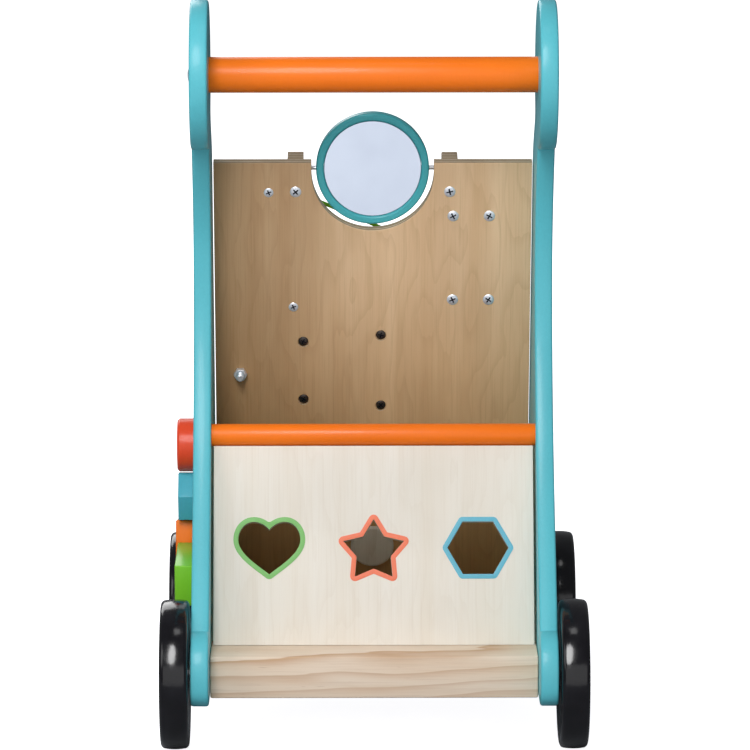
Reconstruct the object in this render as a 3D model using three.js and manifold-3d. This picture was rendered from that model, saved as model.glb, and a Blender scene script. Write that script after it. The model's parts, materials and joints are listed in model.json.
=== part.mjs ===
// Wooden baby walker: two painted side panels joined by a push bar, an activity board, a shape sorter and
// two axle battens on four wheels. Millimetres, +Z up, +Y is forwards (away from the child), +X is to the
// child's right. The origin is on the floor, midway between the four wheels.

import * as THREE from 'three';
import { mergeVertices } from 'three/addons/utils/BufferGeometryUtils.js';
import Module from 'manifold-3d';

const wasm = await Module();
wasm.setup();

// ---------------------------------------------------------------- driving dimensions (mm, degrees)

const gap = 0.3; // between touching pieces, and round a shaft in its bore
const clearWidth = 219.2; // between the two side panels
const panelThickness = 12;

const wheelRadius = 50;
const wheelWidth = 18.8;
const wheelRounding = 3;
const wheelBase = 200;
const wheelSideGap = 1.8; // panel to wheel
const axleRadius = 4;
const hubRecess = { radius: 14, depth: 5 };
const axleCapRadius = 9;
const axleCapWall = 1.3; // cap's closed end over the axle

const battenHeight = 28.5;
const battenDepth = 45;
const battenSetIn = 35; // axle to the batten's inner face
const floorThickness = 5;

const boardThickness = 8.5; // activity board
const boardLean = 11.5; // top towards the child
const boardLength = 317; // up the board
const boardSideGap = 1;
const boardFootBack = 9.3; // board's rear face behind the front axle

const sorterThickness = 6;
const sorterLean = 22; // top away from the child
const sorterLength = 136;
const sorterSideGap = 1.7;
const sorterFootAhead = 20; // sorter's rear face ahead of the rear axle
const sorterBarRadius = 7.6;
const sorterHole = { pitch: 70.3, height: 66 }; // spacing, and centres above the board's foot
const heart = { width: 41.8, height: 35.7 };
const star = { outer: 21.4, inner: 12, drop: 2 }; // centre below the other holes', to line the three up
const hexagonRadius = 20.5;

const handle = { radius: 12, behindBoard: 57.5, aboveBoard: 68.3 };
const handleScrew = { radius: 2.5, length: 35, headRadius: 5.5, headHeight: 2 };
const headRadius = 50; // round head of each side panel, about the handle
const socketDepth = 5; // handle and sorter bar let into the panels
const waist = { belowBoardTop: 63, depth: 41.5 }; // narrowest part of the panels
const barCover = 5.5; // wood of the panels behind the sorter bar
const panelAhead = 12; // panels stand ahead of the board's front face
const foot = { reach: 44, corner: 24, bottom: 15, notchIn: 18, notchUp: 34 }; // about each axle

const mirror = { outer: 38.7, inner: 33.6, thickness: 9.5, discThickness: 1.5, discRecess: 1.5, lean: 4 };
const mirrorRodRadius = 1.5;
const mirrorDrop = 9; // mirror's axis below the board's top edge
const mirrorSweepGap = 3; // ring to the board's recess
const mirrorArcRise = 1.5; // recess arc's centre above the mirror's axis
const post = { width: 11, depth: 14, height: 31 };
const postInset = 5.4; // recess edge to post
const postScrew = { drop: 20, radius: 1.9, length: 18, headRadius: 4, headHeight: 2.2 };

const gear = { pitchRadius: 18, teeth: 12, addendum: 2.4, dedendum: 3.3, backlash: 0.7, thickness: 8 };
const gearHeight = 30.8; // gear axes above the board's foot; every drop is below its top edge
const gearPin = { radius: 3, headRadius: 6, headHeight: 3, backRadius: 15, backHeight: 3 };
const pinStandOff = 1.2; // turning piece to the board

const xylophone = { centreX: -21, upperDrop: 129.2, lowerDrop: 177.1, tilt: 5, railLength: 92 };
const rail = { height: 9, depth: 12 };
const bar = { count: 5, pitch: 17, width: 14, thickness: 3, overhang: 11 };

const tower = { x: 67.4, upperDrop: 38.7, lowerDrop: 100.3, width: 50, height: 12, depth: 30 };
const roller = { count: 3, radius: 13, spacer: 0.6 };
const towerRodRadius = 3;
const towerRodSeat = 6; // rod let into each shelf

const daisy = { x: -91.4, drop: 154.8, radius: 15, lobes: 6, lobeDepth: 2.5, thickness: 9 };
const daisyBolt = { radius: 2.5, headRadius: 5, headHeight: 3, tail: 10 };
const nut = { radius: 4.6, height: 4 };

const wireRadius = 1.5;
const wireUpperEnd = { x: -71, drop: 21.5 };
const wireLowerEnd = { x: -54.5, drop: 105.6 };
const wireRun = { from: { x: -62, out: 44, drop: 33 }, to: { x: 10, out: 48, drop: 67 } }; // straight stretch
const wireReach = 42;
const bead = { radius: 7, length: 11 };

const block = { pegRadius: 3, pegLength: 8 };
const blockTurn = -0.19; // how far the hexagon and the square hang turned on their pegs
const roundel = () => disc(18.9);
const hexagon = () => polygon(18.8, 6, blockTurn);
const square = () => polygon(20.2, 4, Math.PI / 4 + blockTurn);
const longSlab = () => slab(70, 28);
const blocks = [
  { name: 'red_disc_block', y: 45, z: 175.5, thickness: 13, look: 'red', shape: roundel },
  { name: 'blue_hexagon_block', y: 45, z: 139.3, thickness: 12.5, look: 'blue', shape: hexagon },
  { name: 'orange_square_block', y: 51.2, z: 106.5, thickness: 14.5, look: 'orange', shape: square },
  { name: 'green_bar_block', y: -1.2, z: 95, thickness: 13, look: 'green', shape: longSlab },
];

const fine = 32; // sides of a wheel or ring
const medium = 20; // sides of a dowel or roller
const coarse = 12; // sides of a screw or wire

// ---------------------------------------------------------------- derived places

const half = clearWidth / 2;
const axleHeight = wheelRadius;
const rearAxleY = -wheelBase / 2;
const frontAxleY = wheelBase / 2;
const panelOuter = half + panelThickness;
const wheelInner = panelOuter + wheelSideGap;
const wheelOuter = wheelInner + wheelWidth;
const battenTop = axleHeight + battenHeight / 2;
const battenBottom = axleHeight - battenHeight / 2;
const lean = THREE.MathUtils.degToRad(boardLean);
const tilt = THREE.MathUtils.degToRad(sorterLean);
const boardFoot = { y: frontAxleY - boardFootBack, z: battenTop + gap };
const boardY = (z) => boardFoot.y - (z - boardFoot.z) * Math.tan(lean);
const boardTopZ = boardFoot.z + boardLength * Math.cos(lean);
const handleY = boardY(boardTopZ) - handle.behindBoard;
const handleZ = boardTopZ + handle.aboveBoard;
const sorterFoot = { y: rearAxleY + sorterFootAhead, z: battenTop + gap };
const barAlong = sorterLength + gap + sorterBarRadius;
const sorterBarY = sorterFoot.y + (sorterThickness / 2) * Math.cos(tilt) + barAlong * Math.sin(tilt);
const sorterBarZ = sorterFoot.z - (sorterThickness / 2) * Math.sin(tilt) + barAlong * Math.cos(tilt);
const footBottom = axleHeight - foot.bottom;
const recessRadius = mirror.outer + mirrorSweepGap;
const mirrorU = boardLength - mirrorDrop;
const postX = recessRadius + postInset + post.width / 2;
const mirrorOut = boardThickness + post.depth / 2;
const daisyU = boardLength - daisy.drop;
const wireUpperU = boardLength - wireUpperEnd.drop;
const wireLowerU = boardLength - wireLowerEnd.drop;

const paint = {
  turquoise: { color: 0x64c3cd, roughness: 0.35 },
  orange: { color: 0xfc7814, roughness: 0.35 },
  red: { color: 0xeb5028, roughness: 0.4 },
  green: { color: 0x6eb42d, roughness: 0.4 },
  yellow: { color: 0xf5c832, roughness: 0.4 },
  blue: { color: 0x5fc8d7, roughness: 0.4 },
  white: { color: 0xf0eee8, roughness: 0.45 },
  black: { color: 0x141216, roughness: 0.25 },
  plywood: { color: 0xbea078, roughness: 0.6 },
  paleWood: { color: 0xe1dad0, roughness: 0.6 },
  pine: { color: 0xd7bea5, roughness: 0.6 },
  steel: { color: 0xb9bec4, roughness: 0.35, metalness: 0.9 },
  mirror: { color: 0xd5dae8, roughness: 0.05, metalness: 1 },
};

// ---------------------------------------------------------------- helpers

const walker = new THREE.Group();

function node(name, geometry, material, parent = walker) {
  const mesh = new THREE.Mesh(geometry, new THREE.MeshStandardMaterial(material));
  mesh.name = name;
  parent.add(mesh);
  return mesh;
}

function solid(geometry) {
  const bare = geometry.clone();
  bare.deleteAttribute('normal');
  bare.deleteAttribute('uv');
  const merged = mergeVertices(bare, 1e-4);
  const vertProperties = new Float32Array(merged.attributes.position.array);
  const triVerts = new Uint32Array(merged.index.array);
  return new wasm.Manifold(new wasm.Mesh({ numProp: 3, vertProperties, triVerts }));
}

function geometryOf(manifold) {
  const mesh = manifold.getMesh();
  const geometry = new THREE.BufferGeometry();
  geometry.setAttribute('position', new THREE.BufferAttribute(mesh.vertProperties, 3));
  geometry.setIndex(new THREE.BufferAttribute(mesh.triVerts, 1));
  geometry.computeVertexNormals();
  return geometry;
}

function cut(base, ...tools) {
  return geometryOf(tools.reduce((rest, tool) => rest.subtract(solid(tool)), solid(base)));
}

function join(...pieces) {
  return geometryOf(pieces.map(solid).reduce((whole, piece) => whole.add(piece)));
}

function box(x0, x1, y0, y1, z0, z1) {
  const blank = new THREE.BoxGeometry(x1 - x0, y1 - y0, z1 - z0);
  return blank.translate((x0 + x1) / 2, (y0 + y1) / 2, (z0 + z1) / 2);
}

// Cylinders between two values along an axis, given in either order.
function rodX(radius, x0, x1, y, z, sides = medium) {
  const rod = new THREE.CylinderGeometry(radius, radius, Math.abs(x1 - x0), sides, 1);
  return rod.rotateZ(-Math.PI / 2).translate((x0 + x1) / 2, y, z);
}

function rodY(radius, y0, y1, x, z, sides = medium) {
  const rod = new THREE.CylinderGeometry(radius, radius, Math.abs(y1 - y0), sides, 1);
  return rod.translate(x, (y0 + y1) / 2, z);
}

function rodZ(radius, z0, z1, x, y, sides = medium) {
  const rod = new THREE.CylinderGeometry(radius, radius, z1 - z0, sides, 1);
  return rod.rotateX(Math.PI / 2).translate(x, y, (z0 + z1) / 2);
}

function extrude(shape, depth, curveSegments = 8) {
  return new THREE.ExtrudeGeometry(shape, { depth, bevelEnabled: false, curveSegments, steps: 1 });
}

// A shape drawn in (x, up) given its thickness along +Y.
function panelY(shape, y0, depth, curveSegments) {
  return extrude(shape, depth, curveSegments).rotateX(Math.PI / 2).translate(0, y0 + depth, 0);
}

// A shape drawn in (y, z) given its thickness along +X.
function panelX(shape, x0, depth, curveSegments) {
  const turn = new THREE.Matrix4().makeBasis(
    new THREE.Vector3(0, 1, 0),
    new THREE.Vector3(0, 0, 1),
    new THREE.Vector3(1, 0, 0),
  );
  return extrude(shape, depth, curveSegments).applyMatrix4(turn).translate(x0, 0, 0);
}

function turned(points, sides) {
  const profile = points.map(([r, h]) => new THREE.Vector2(r, h));
  return new THREE.LatheGeometry(profile, sides, Math.PI / sides, 2 * Math.PI);
}

function disc(radius, y = 0, z = 0) {
  return new THREE.Shape().absarc(y, z, radius, 0, 2 * Math.PI);
}

function polygon(radius, sides, start = 0) {
  const shape = new THREE.Shape();
  for (let i = 0; i < sides; i++) {
    const angle = start + (2 * Math.PI * i) / sides;
    const point = [radius * Math.cos(angle), radius * Math.sin(angle)];
    if (i) shape.lineTo(...point);
    else shape.moveTo(...point);
  }
  shape.closePath();
  return shape;
}

function slab(width, height) {
  const [w, h] = [width / 2, height / 2];
  const shape = new THREE.Shape().moveTo(-w, -h).lineTo(w, -h).lineTo(w, h).lineTo(-w, h);
  shape.closePath();
  return shape;
}

// ---------------------------------------------------------------- side panels

// Outline in (y, z): a round head about the handle, a waist, and a foot lobe round each axle.
function panelOutline() {
  const front = (z) => boardY(z) + boardThickness / Math.cos(lean) + panelAhead;
  const waistZ = boardTopZ - waist.belowBoardTop;
  const waistY = boardY(waistZ) - waist.depth;
  const notch = { y: rearAxleY - foot.notchIn, z: axleHeight + foot.notchUp };
  const behindBar = { y: sorterBarY - sorterBarRadius - barCover, z: sorterBarZ };
  const lower = { y: behindBar.y - notch.y, z: behindBar.z - notch.z };
  const upper = { y: waistY - behindBar.y, z: waistZ - behindBar.z };
  const shoulderZ = boardTopZ - 4;
  const headEnd = -Math.PI / 6;
  const headFront = {
    y: handleY + headRadius * Math.cos(headEnd),
    z: handleZ + headRadius * Math.sin(headEnd),
  };
  const frontLobeZ = axleHeight + headRadius;
  const rearReach = rearAxleY - foot.reach;
  const frontReach = frontAxleY + foot.reach;

  const shape = new THREE.Shape();
  shape.moveTo(rearReach + foot.corner, footBottom);
  shape.lineTo(frontReach - foot.corner, footBottom);
  shape.quadraticCurveTo(frontReach, footBottom, frontReach, axleHeight);
  const lobeY = front(frontLobeZ);
  shape.bezierCurveTo(frontReach, axleHeight + 22, lobeY + 6, frontLobeZ - 18, lobeY, frontLobeZ);
  const shoulderY = front(shoulderZ);
  shape.lineTo(shoulderY, shoulderZ);
  const underHead = [headFront.y - 9, headFront.z - 15];
  shape.bezierCurveTo(shoulderY - 5, shoulderZ + 26, ...underHead, headFront.y, headFront.z);
  shape.absarc(handleY, handleZ, headRadius, headEnd, 1.5 * Math.PI + 0.04);
  shape.bezierCurveTo(handleY + 16, handleZ - headRadius - 26, waistY, waistZ + 30, waistY, waistZ);
  const above = [behindBar.y + 0.43 * upper.y, behindBar.z + 0.25 * upper.z];
  const below = [behindBar.y - 0.24 * lower.y, behindBar.z - 0.29 * lower.z];
  const approach = [notch.y + 0.39 * lower.y, notch.z + 0.36 * lower.z];
  shape.bezierCurveTo(waistY, waistZ - 0.36 * upper.z, ...above, behindBar.y, behindBar.z);
  shape.bezierCurveTo(...below, ...approach, notch.y, notch.z);
  shape.bezierCurveTo(notch.y - 14, notch.z, rearReach, notch.z - 12, rearReach, axleHeight);
  shape.quadraticCurveTo(rearReach, footBottom, rearReach + foot.corner, footBottom);
  return shape;
}

function sidePanel(side) {
  const x0 = side < 0 ? -panelOuter : half;
  const inner = side * half;
  const sockets = [
    [handle.radius, handleY, handleZ],
    [sorterBarRadius, sorterBarY, sorterBarZ],
  ];
  const holes = sockets.map(([radius, y, z]) => {
    return rodX(radius + gap, inner - side * socketDepth, inner + side * socketDepth, y, z);
  });
  for (const y of [rearAxleY, frontAxleY]) {
    holes.push(rodX(axleRadius + gap, x0 - 1, x0 + panelThickness + 1, y, axleHeight));
  }
  holes.push(rodX(handleScrew.radius + gap, x0 - 1, x0 + panelThickness + 1, handleY, handleZ, coarse));
  if (side < 0) {
    for (const { y, z } of blocks) {
      holes.push(rodX(block.pegRadius + gap, x0 - 1, x0 + block.pegLength + gap, y, z, coarse));
    }
  }
  return cut(panelX(panelOutline(), x0, panelThickness, 9), ...holes);
}

function frame() {
  node('side_panel_left', sidePanel(-1), paint.turquoise);
  node('side_panel_right', sidePanel(1), paint.turquoise);
  const reach = half + socketDepth - gap;
  const screwTip = panelOuter - handleScrew.length;
  const pilots = [-1, 1].map((side) => {
    const [mouth, end] = [side * (reach + gap), side * (screwTip - gap)];
    return rodX(handleScrew.radius + gap, mouth, end, handleY, handleZ, coarse);
  });
  node('handle_bar', cut(rodX(handle.radius, -reach, reach, handleY, handleZ), ...pilots), paint.orange);
  node('sorter_bar', rodX(sorterBarRadius, -reach, reach, sorterBarY, sorterBarZ), paint.orange);
  for (const side of [-1, 1]) {
    const seat = side * (panelOuter + gap);
    const top = side * (panelOuter + gap + handleScrew.headHeight);
    const shank = rodX(handleScrew.radius, side * screwTip, seat, handleY, handleZ, coarse);
    const cap = rodX(handleScrew.headRadius, seat, top, handleY, handleZ, coarse);
    node(side < 0 ? 'handle_screw_left' : 'handle_screw_right', join(shank, cap), paint.steel);
  }
  const inside = half - gap;
  const bore = (y) => rodX(axleRadius + gap, -half, half, y, axleHeight);
  const rearFace = rearAxleY + battenSetIn - battenDepth;
  const rear = box(-inside, inside, rearFace, rearFace + battenDepth, battenBottom, battenTop);
  node('rear_plank', cut(rear, bore(rearAxleY)), paint.pine);
  const frontFace = -rearFace;
  const front = box(-inside, inside, frontFace - battenDepth, frontFace, battenBottom, battenTop);
  node('front_batten', cut(front, bore(frontAxleY)), paint.pine);
  const floorEnd = frontAxleY - battenSetIn - gap;
  const floor = box(-inside, inside, -floorEnd, floorEnd, battenBottom, battenBottom + floorThickness);
  node('floor_panel', floor, paint.plywood);
}

// ---------------------------------------------------------------- wheels

function wheelProfile() {
  const rim = wheelRadius / Math.cos(Math.PI / fine);
  const bore = (axleRadius + gap) / Math.cos(Math.PI / fine);
  const round = wheelRounding;
  const cornerStep = round * (1 - Math.SQRT1_2);
  return [
    [bore, 0],
    [rim - round, 0],
    [rim - cornerStep, cornerStep],
    [rim, round],
    [rim, wheelWidth - round],
    [rim - cornerStep, wheelWidth - cornerStep],
    [rim - round, wheelWidth],
    [hubRecess.radius, wheelWidth],
    [hubRecess.radius, wheelWidth - hubRecess.depth],
    [bore, wheelWidth - hubRecess.depth],
    [bore, 0],
  ];
}

function axleCap() {
  const length = hubRecess.depth - 2 * gap;
  const bore = axleRadius + gap;
  return [
    [bore, 0],
    [axleCapRadius, 0],
    [axleCapRadius, length - 1],
    [axleCapRadius - 1.5, length],
    [0, length],
    [0, length - axleCapWall],
    [bore, length - axleCapWall],
    [bore, 0],
  ];
}

function wheels() {
  const ends = [['rear', rearAxleY], ['front', frontAxleY]];
  const sides = [['left', -1], ['right', 1]];
  for (const [end, y] of ends) {
    const reach = wheelOuter - gap - axleCapWall - gap;
    node(`${end}_axle`, rodX(axleRadius, -reach, reach, y, axleHeight), paint.steel);
    for (const [name, side] of sides) {
      const place = (mesh, x) => {
        mesh.rotation.z = (-side * Math.PI) / 2;
        mesh.position.set(side * x, y, axleHeight);
      };
      place(node(`wheel_${end}_${name}`, turned(wheelProfile(), fine), paint.black), wheelInner);
      const capX = wheelOuter - hubRecess.depth + gap;
      place(node(`axle_cap_${end}_${name}`, turned(axleCap(), medium), paint.steel), capX);
    }
  }
}

// ---------------------------------------------------------------- shape sorter

function heartShape(width, height, x, u) {
  const [w, h] = [width / 2, height / 2];
  const shape = new THREE.Shape();
  shape.moveTo(x, u + 0.7 * h);
  shape.bezierCurveTo(x - 0.12 * w, u + 0.88 * h, x - 0.3 * w, u + h, x - 0.5 * w, u + h);
  shape.bezierCurveTo(x - 0.79 * w, u + h, x - w, u + 0.7 * h, x - w, u + 0.32 * h);
  shape.bezierCurveTo(x - w, u - 0.2 * h, x - 0.39 * w, u - 0.64 * h, x, u - h);
  shape.bezierCurveTo(x + 0.39 * w, u - 0.64 * h, x + w, u - 0.2 * h, x + w, u + 0.32 * h);
  shape.bezierCurveTo(x + w, u + 0.7 * h, x + 0.79 * w, u + h, x + 0.5 * w, u + h);
  shape.bezierCurveTo(x + 0.3 * w, u + h, x + 0.12 * w, u + 0.88 * h, x, u + 0.7 * h);
  return shape;
}

function starShape(outer, inner, x, u) {
  const points = 5;
  const shape = new THREE.Shape();
  for (let i = 0; i < 2 * points; i++) {
    const radius = i % 2 ? inner : outer;
    const angle = Math.PI / 2 + (Math.PI * i) / points;
    const point = [x + radius * Math.cos(angle), u + radius * Math.sin(angle)];
    if (i) shape.lineTo(...point);
    else shape.moveTo(...point);
  }
  shape.closePath();
  return shape;
}

function sorter() {
  const group = new THREE.Group();
  group.position.set(0, sorterFoot.y, sorterFoot.z);
  group.rotation.x = -tilt;
  walker.add(group);
  const width = half - sorterSideGap;
  const below = sorterThickness * Math.tan(tilt);
  const through = sorterThickness + 2;
  const blank = box(-width, width, 0, sorterThickness, 0, sorterLength);
  const hexagon = panelY(polygon(hexagonRadius, 6), -1, through);
  const holes = [
    panelY(heartShape(heart.width, heart.height, -sorterHole.pitch, sorterHole.height), -1, through, 5),
    panelY(starShape(star.outer, star.inner, 0, sorterHole.height - star.drop), -1, through),
    hexagon.translate(sorterHole.pitch, 0, sorterHole.height),
  ];
  const mitre = new THREE.Shape().moveTo(-1, -below).lineTo(sorterThickness + 1, -below);
  mitre.lineTo(sorterThickness + 1, below + below / sorterThickness).lineTo(-1, -below / sorterThickness);
  mitre.closePath();
  holes.push(panelX(mitre, -half, 2 * half));
  node('sorter_board', cut(blank, ...holes), paint.paleWood, group);
}

// ---------------------------------------------------------------- activity board and what it carries

// Its own frame: x across, y forwards through the thickness from the rear face, z up the board from its foot.
const board = new THREE.Group();
board.position.set(0, boardFoot.y, boardFoot.z);
board.rotation.x = lean;
walker.add(board);

const gearXs = [-1, 0, 1].map((side) => side * 2 * gear.pitchRadius);

function activityBoard() {
  const width = half - boardSideGap;
  const arcU = mirrorU + mirrorArcRise;
  const shape = new THREE.Shape().moveTo(-width, 0).lineTo(width, 0).lineTo(width, boardLength);
  shape.lineTo(recessRadius, boardLength);
  shape.absarc(0, arcU, recessRadius, 0, Math.PI, true);
  shape.lineTo(-recessRadius, boardLength).lineTo(-width, boardLength);
  shape.closePath();
  const through = [-1, boardThickness + 1];
  const holes = gearXs.map((x) => rodY(gearPin.radius + gap, ...through, x, gearHeight, coarse));
  holes.push(rodY(daisyBolt.radius + gap, ...through, daisy.x, daisyU, coarse));
  for (const side of [-1, 1]) {
    holes.push(rodY(postScrew.radius + gap, ...through, side * postX, boardLength - postScrew.drop, coarse));
  }
  for (const { x, drop } of [wireUpperEnd, wireLowerEnd]) {
    const u = boardLength - drop;
    holes.push(rodY(wireRadius + gap, boardThickness / 2, boardThickness + 1, x, u, coarse));
  }
  node('front_board', cut(panelY(shape, 0, boardThickness, 20), ...holes), paint.plywood, board);
}

function mirrorSet() {
  const boreEnd = postX + post.width / 2 - 1;
  for (const [name, side] of [['left', -1], ['right', 1]]) {
    const x = side * postX;
    const y0 = boardThickness + gap;
    const blank = box(
      x - post.width / 2, x + post.width / 2, y0, y0 + post.depth, boardLength - post.height, boardLength,
    );
    const bore = rodX(mirrorRodRadius + gap, side * recessRadius, side * boreEnd, mirrorOut, mirrorU, coarse);
    const screwU = boardLength - postScrew.drop;
    const tip = postScrew.length - postScrew.headHeight;
    const pilot = rodY(postScrew.radius + gap, y0 - 1, tip + gap, x, screwU, coarse);
    node(`mirror_post_${name}`, cut(blank, bore, pilot), paint.plywood, board);
    const shank = rodY(postScrew.radius, -gap, tip, x, screwU, coarse);
    const head = rodY(postScrew.headRadius, -gap - postScrew.headHeight, -gap, x, screwU, medium);
    node(`mirror_post_screw_${name}`, join(shank, head), paint.steel, board);
  }
  const group = new THREE.Group();
  group.position.set(0, mirrorOut, mirrorU);
  group.rotation.x = THREE.MathUtils.degToRad(mirror.lean - boardLean);
  board.add(group);
  const deep = mirror.thickness / 2;
  const bore = mirrorRodRadius + gap;
  const ring = [
    [mirror.inner, -deep],
    [mirror.outer - 1, -deep],
    [mirror.outer, -deep + 1],
    [mirror.outer, deep - 1],
    [mirror.outer - 1, deep],
    [mirror.inner, deep],
    [mirror.inner, -deep],
  ];
  const across = rodX(bore, -recessRadius, recessRadius, 0, 0, coarse);
  node('mirror_ring', cut(turned(ring, fine), across), paint.turquoise, group);
  const rodEnd = boreEnd - gap;
  node('mirror_rod', rodX(mirrorRodRadius, -rodEnd, rodEnd, 0, 0, coarse), paint.steel, group);
  const discRadius = mirror.inner * Math.cos(Math.PI / fine) - gap;
  for (const [name, side] of [['rear', -1], ['front', 1]]) {
    const face = side * (deep - mirror.discRecess);
    const back = side * (deep - mirror.discRecess - mirror.discThickness);
    node(`mirror_${name}`, rodY(discRadius, face, back, 0, 0, fine), paint.mirror, group);
  }
}

function gearShape(turn) {
  const { pitchRadius, teeth, addendum, dedendum, backlash } = gear;
  const pitch = (2 * Math.PI) / teeth;
  const halfTooth = (angleShare, radius) => (pitch / 4) * angleShare - backlash / 2 / radius;
  const tip = pitchRadius + addendum;
  const root = pitchRadius - dedendum;
  const shape = new THREE.Shape();
  for (let i = 0; i < teeth; i++) {
    const middle = turn + i * pitch;
    const corners = [
      [root, middle - halfTooth(1.35, root)],
      [tip, middle - halfTooth(0.62, tip)],
      [tip, middle + halfTooth(0.62, tip)],
      [root, middle + halfTooth(1.35, root)],
    ];
    corners.forEach(([radius, angle], k) => {
      const point = [radius * Math.cos(angle), radius * Math.sin(angle)];
      if (i || k) shape.lineTo(...point);
      else shape.moveTo(...point);
    });
  }
  shape.closePath();
  shape.holes.push(new THREE.Path().absarc(0, 0, gearPin.radius + 2 * gap, 0, 2 * Math.PI, true));
  return shape;
}

function headedPin(pin, from, headAt) {
  const sections = [
    [0, from],
    [pin.radius, from],
    [pin.radius, headAt],
    [pin.headRadius, headAt],
    [pin.headRadius, headAt + pin.headHeight],
    [0, headAt + pin.headHeight],
  ];
  return turned(sections, medium);
}

function gears() {
  const from = boardThickness + pinStandOff;
  const halfPitch = Math.PI / gear.teeth;
  const looks = [['left', paint.red], ['centre', paint.yellow], ['right', paint.green]];
  looks.forEach(([name, look], i) => {
    const x = gearXs[i];
    const turn = i === 1 ? 0 : halfPitch;
    const wheel = panelY(gearShape(turn), from, gear.thickness, 4).translate(x, 0, gearHeight);
    node(`gear_${name}`, wheel, look, board);
    const headAt = from + gear.thickness + gap;
    const pin = headedPin(gearPin, -gap, headAt).translate(x, 0, gearHeight);
    const back = rodY(gearPin.backRadius, -gap - gearPin.backHeight, -gap, x, gearHeight, fine);
    node(`gear_pin_${name}`, join(pin, back), paint.paleWood, board);
  });
}

function daisySpinner() {
  const from = boardThickness + pinStandOff;
  const shape = new THREE.Shape();
  const steps = 6 * daisy.lobes;
  for (let i = 0; i < steps; i++) {
    const angle = (2 * Math.PI * i) / steps;
    const radius = daisy.radius - (daisy.lobeDepth * (1 - Math.cos(daisy.lobes * angle))) / 2;
    const point = [radius * Math.cos(angle), radius * Math.sin(angle)];
    if (i) shape.lineTo(...point);
    else shape.moveTo(...point);
  }
  shape.closePath();
  shape.holes.push(new THREE.Path().absarc(0, 0, daisyBolt.radius + 2 * gap, 0, 2 * Math.PI, true));
  const wheel = panelY(shape, from, daisy.thickness, 4).translate(daisy.x, 0, daisyU);
  node('daisy_wheel', wheel, paint.orange, board);
  const headAt = from + daisy.thickness + gap;
  const bolt = headedPin(daisyBolt, -daisyBolt.tail, headAt).translate(daisy.x, 0, daisyU);
  node('daisy_bolt', bolt, paint.steel, board);
  const hex = polygon(nut.radius, 6);
  hex.holes.push(new THREE.Path().absarc(0, 0, daisyBolt.radius + gap, 0, 2 * Math.PI, true));
  const lockNut = panelY(hex, -gap - nut.height, nut.height, 4).translate(daisy.x, 0, daisyU);
  node('daisy_nut', lockNut, paint.steel, board);
}

function xylophoneSet() {
  const slope = THREE.MathUtils.degToRad(xylophone.tilt);
  const y0 = boardThickness + gap;
  const upper = boardLength - xylophone.upperDrop;
  const lower = boardLength - xylophone.lowerDrop;
  for (const [name, u, sign] of [['upper', upper, 1], ['lower', lower, -1]]) {
    const half = xylophone.railLength / 2;
    const strip = box(-half, half, y0, y0 + rail.depth, -rail.height / 2, rail.height / 2);
    const mesh = node(`xylophone_rail_${name}`, strip, paint.white, board);
    mesh.position.set(xylophone.centreX, 0, u);
    mesh.rotation.y = -sign * slope;
  }
  const middle = (upper + lower) / 2;
  const colours = [paint.turquoise, paint.green, paint.yellow, paint.orange, paint.red];
  const y1 = y0 + rail.depth + gap;
  for (let i = 0; i < bar.count; i++) {
    const offset = (i - (bar.count - 1) / 2) * bar.pitch;
    const spacing = upper - lower + 2 * offset * Math.tan(slope);
    const [w, h] = [bar.width / 2, spacing / 2 + bar.overhang];
    const plate = box(-w, w, y1, y1 + bar.thickness, -h, h).translate(xylophone.centreX + offset, 0, middle);
    node(`xylophone_bar_${i + 1}`, plate, colours[i], board);
  }
}

function rollerTower() {
  const y0 = boardThickness + gap;
  const rodY0 = y0 + tower.depth / 2;
  const upper = boardLength - tower.upperDrop;
  const lower = boardLength - tower.lowerDrop;
  const low = lower + tower.height / 2;
  const high = upper - tower.height / 2;
  const seat = towerRodSeat;
  for (const [name, u] of [['upper', upper], ['lower', lower]]) {
    const [w, h] = [tower.width / 2, tower.height / 2];
    const blank = box(tower.x - w, tower.x + w, y0, y0 + tower.depth, u - h, u + h);
    const hole = rodZ(towerRodRadius + gap, low - seat - gap, high + seat + gap, tower.x, rodY0, coarse);
    node(`tower_shelf_${name}`, cut(blank, hole), paint.turquoise, board);
  }
  const towerRod = rodZ(towerRodRadius, low - seat, high + seat, tower.x, rodY0, coarse);
  node('tower_rod', towerRod, paint.steel, board);
  const each = (high - low - roller.spacer) / roller.count;
  const colours = [paint.red, paint.yellow, paint.green];
  for (let i = 0; i < roller.count; i++) {
    const z0 = low + roller.spacer + i * each;
    const z1 = z0 + each - roller.spacer;
    const drum = rodZ(roller.radius, z0, z1, tower.x, rodY0);
    const bore = rodZ(towerRodRadius + 2 * gap, z0 - 1, z1 + 1, tower.x, rodY0, coarse);
    node(`tower_roller_${i + 1}`, cut(drum, bore), colours[i], board);
  }
}

// ---------------------------------------------------------------- bead wire

function wireStraight() {
  const place = (end) => new THREE.Vector3(end.x, end.out, boardLength - end.drop);
  const [from, to] = [place(wireRun.from), place(wireRun.to)];
  const direction = to.clone().sub(from).normalize();
  return { from, to, direction };
}

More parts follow.
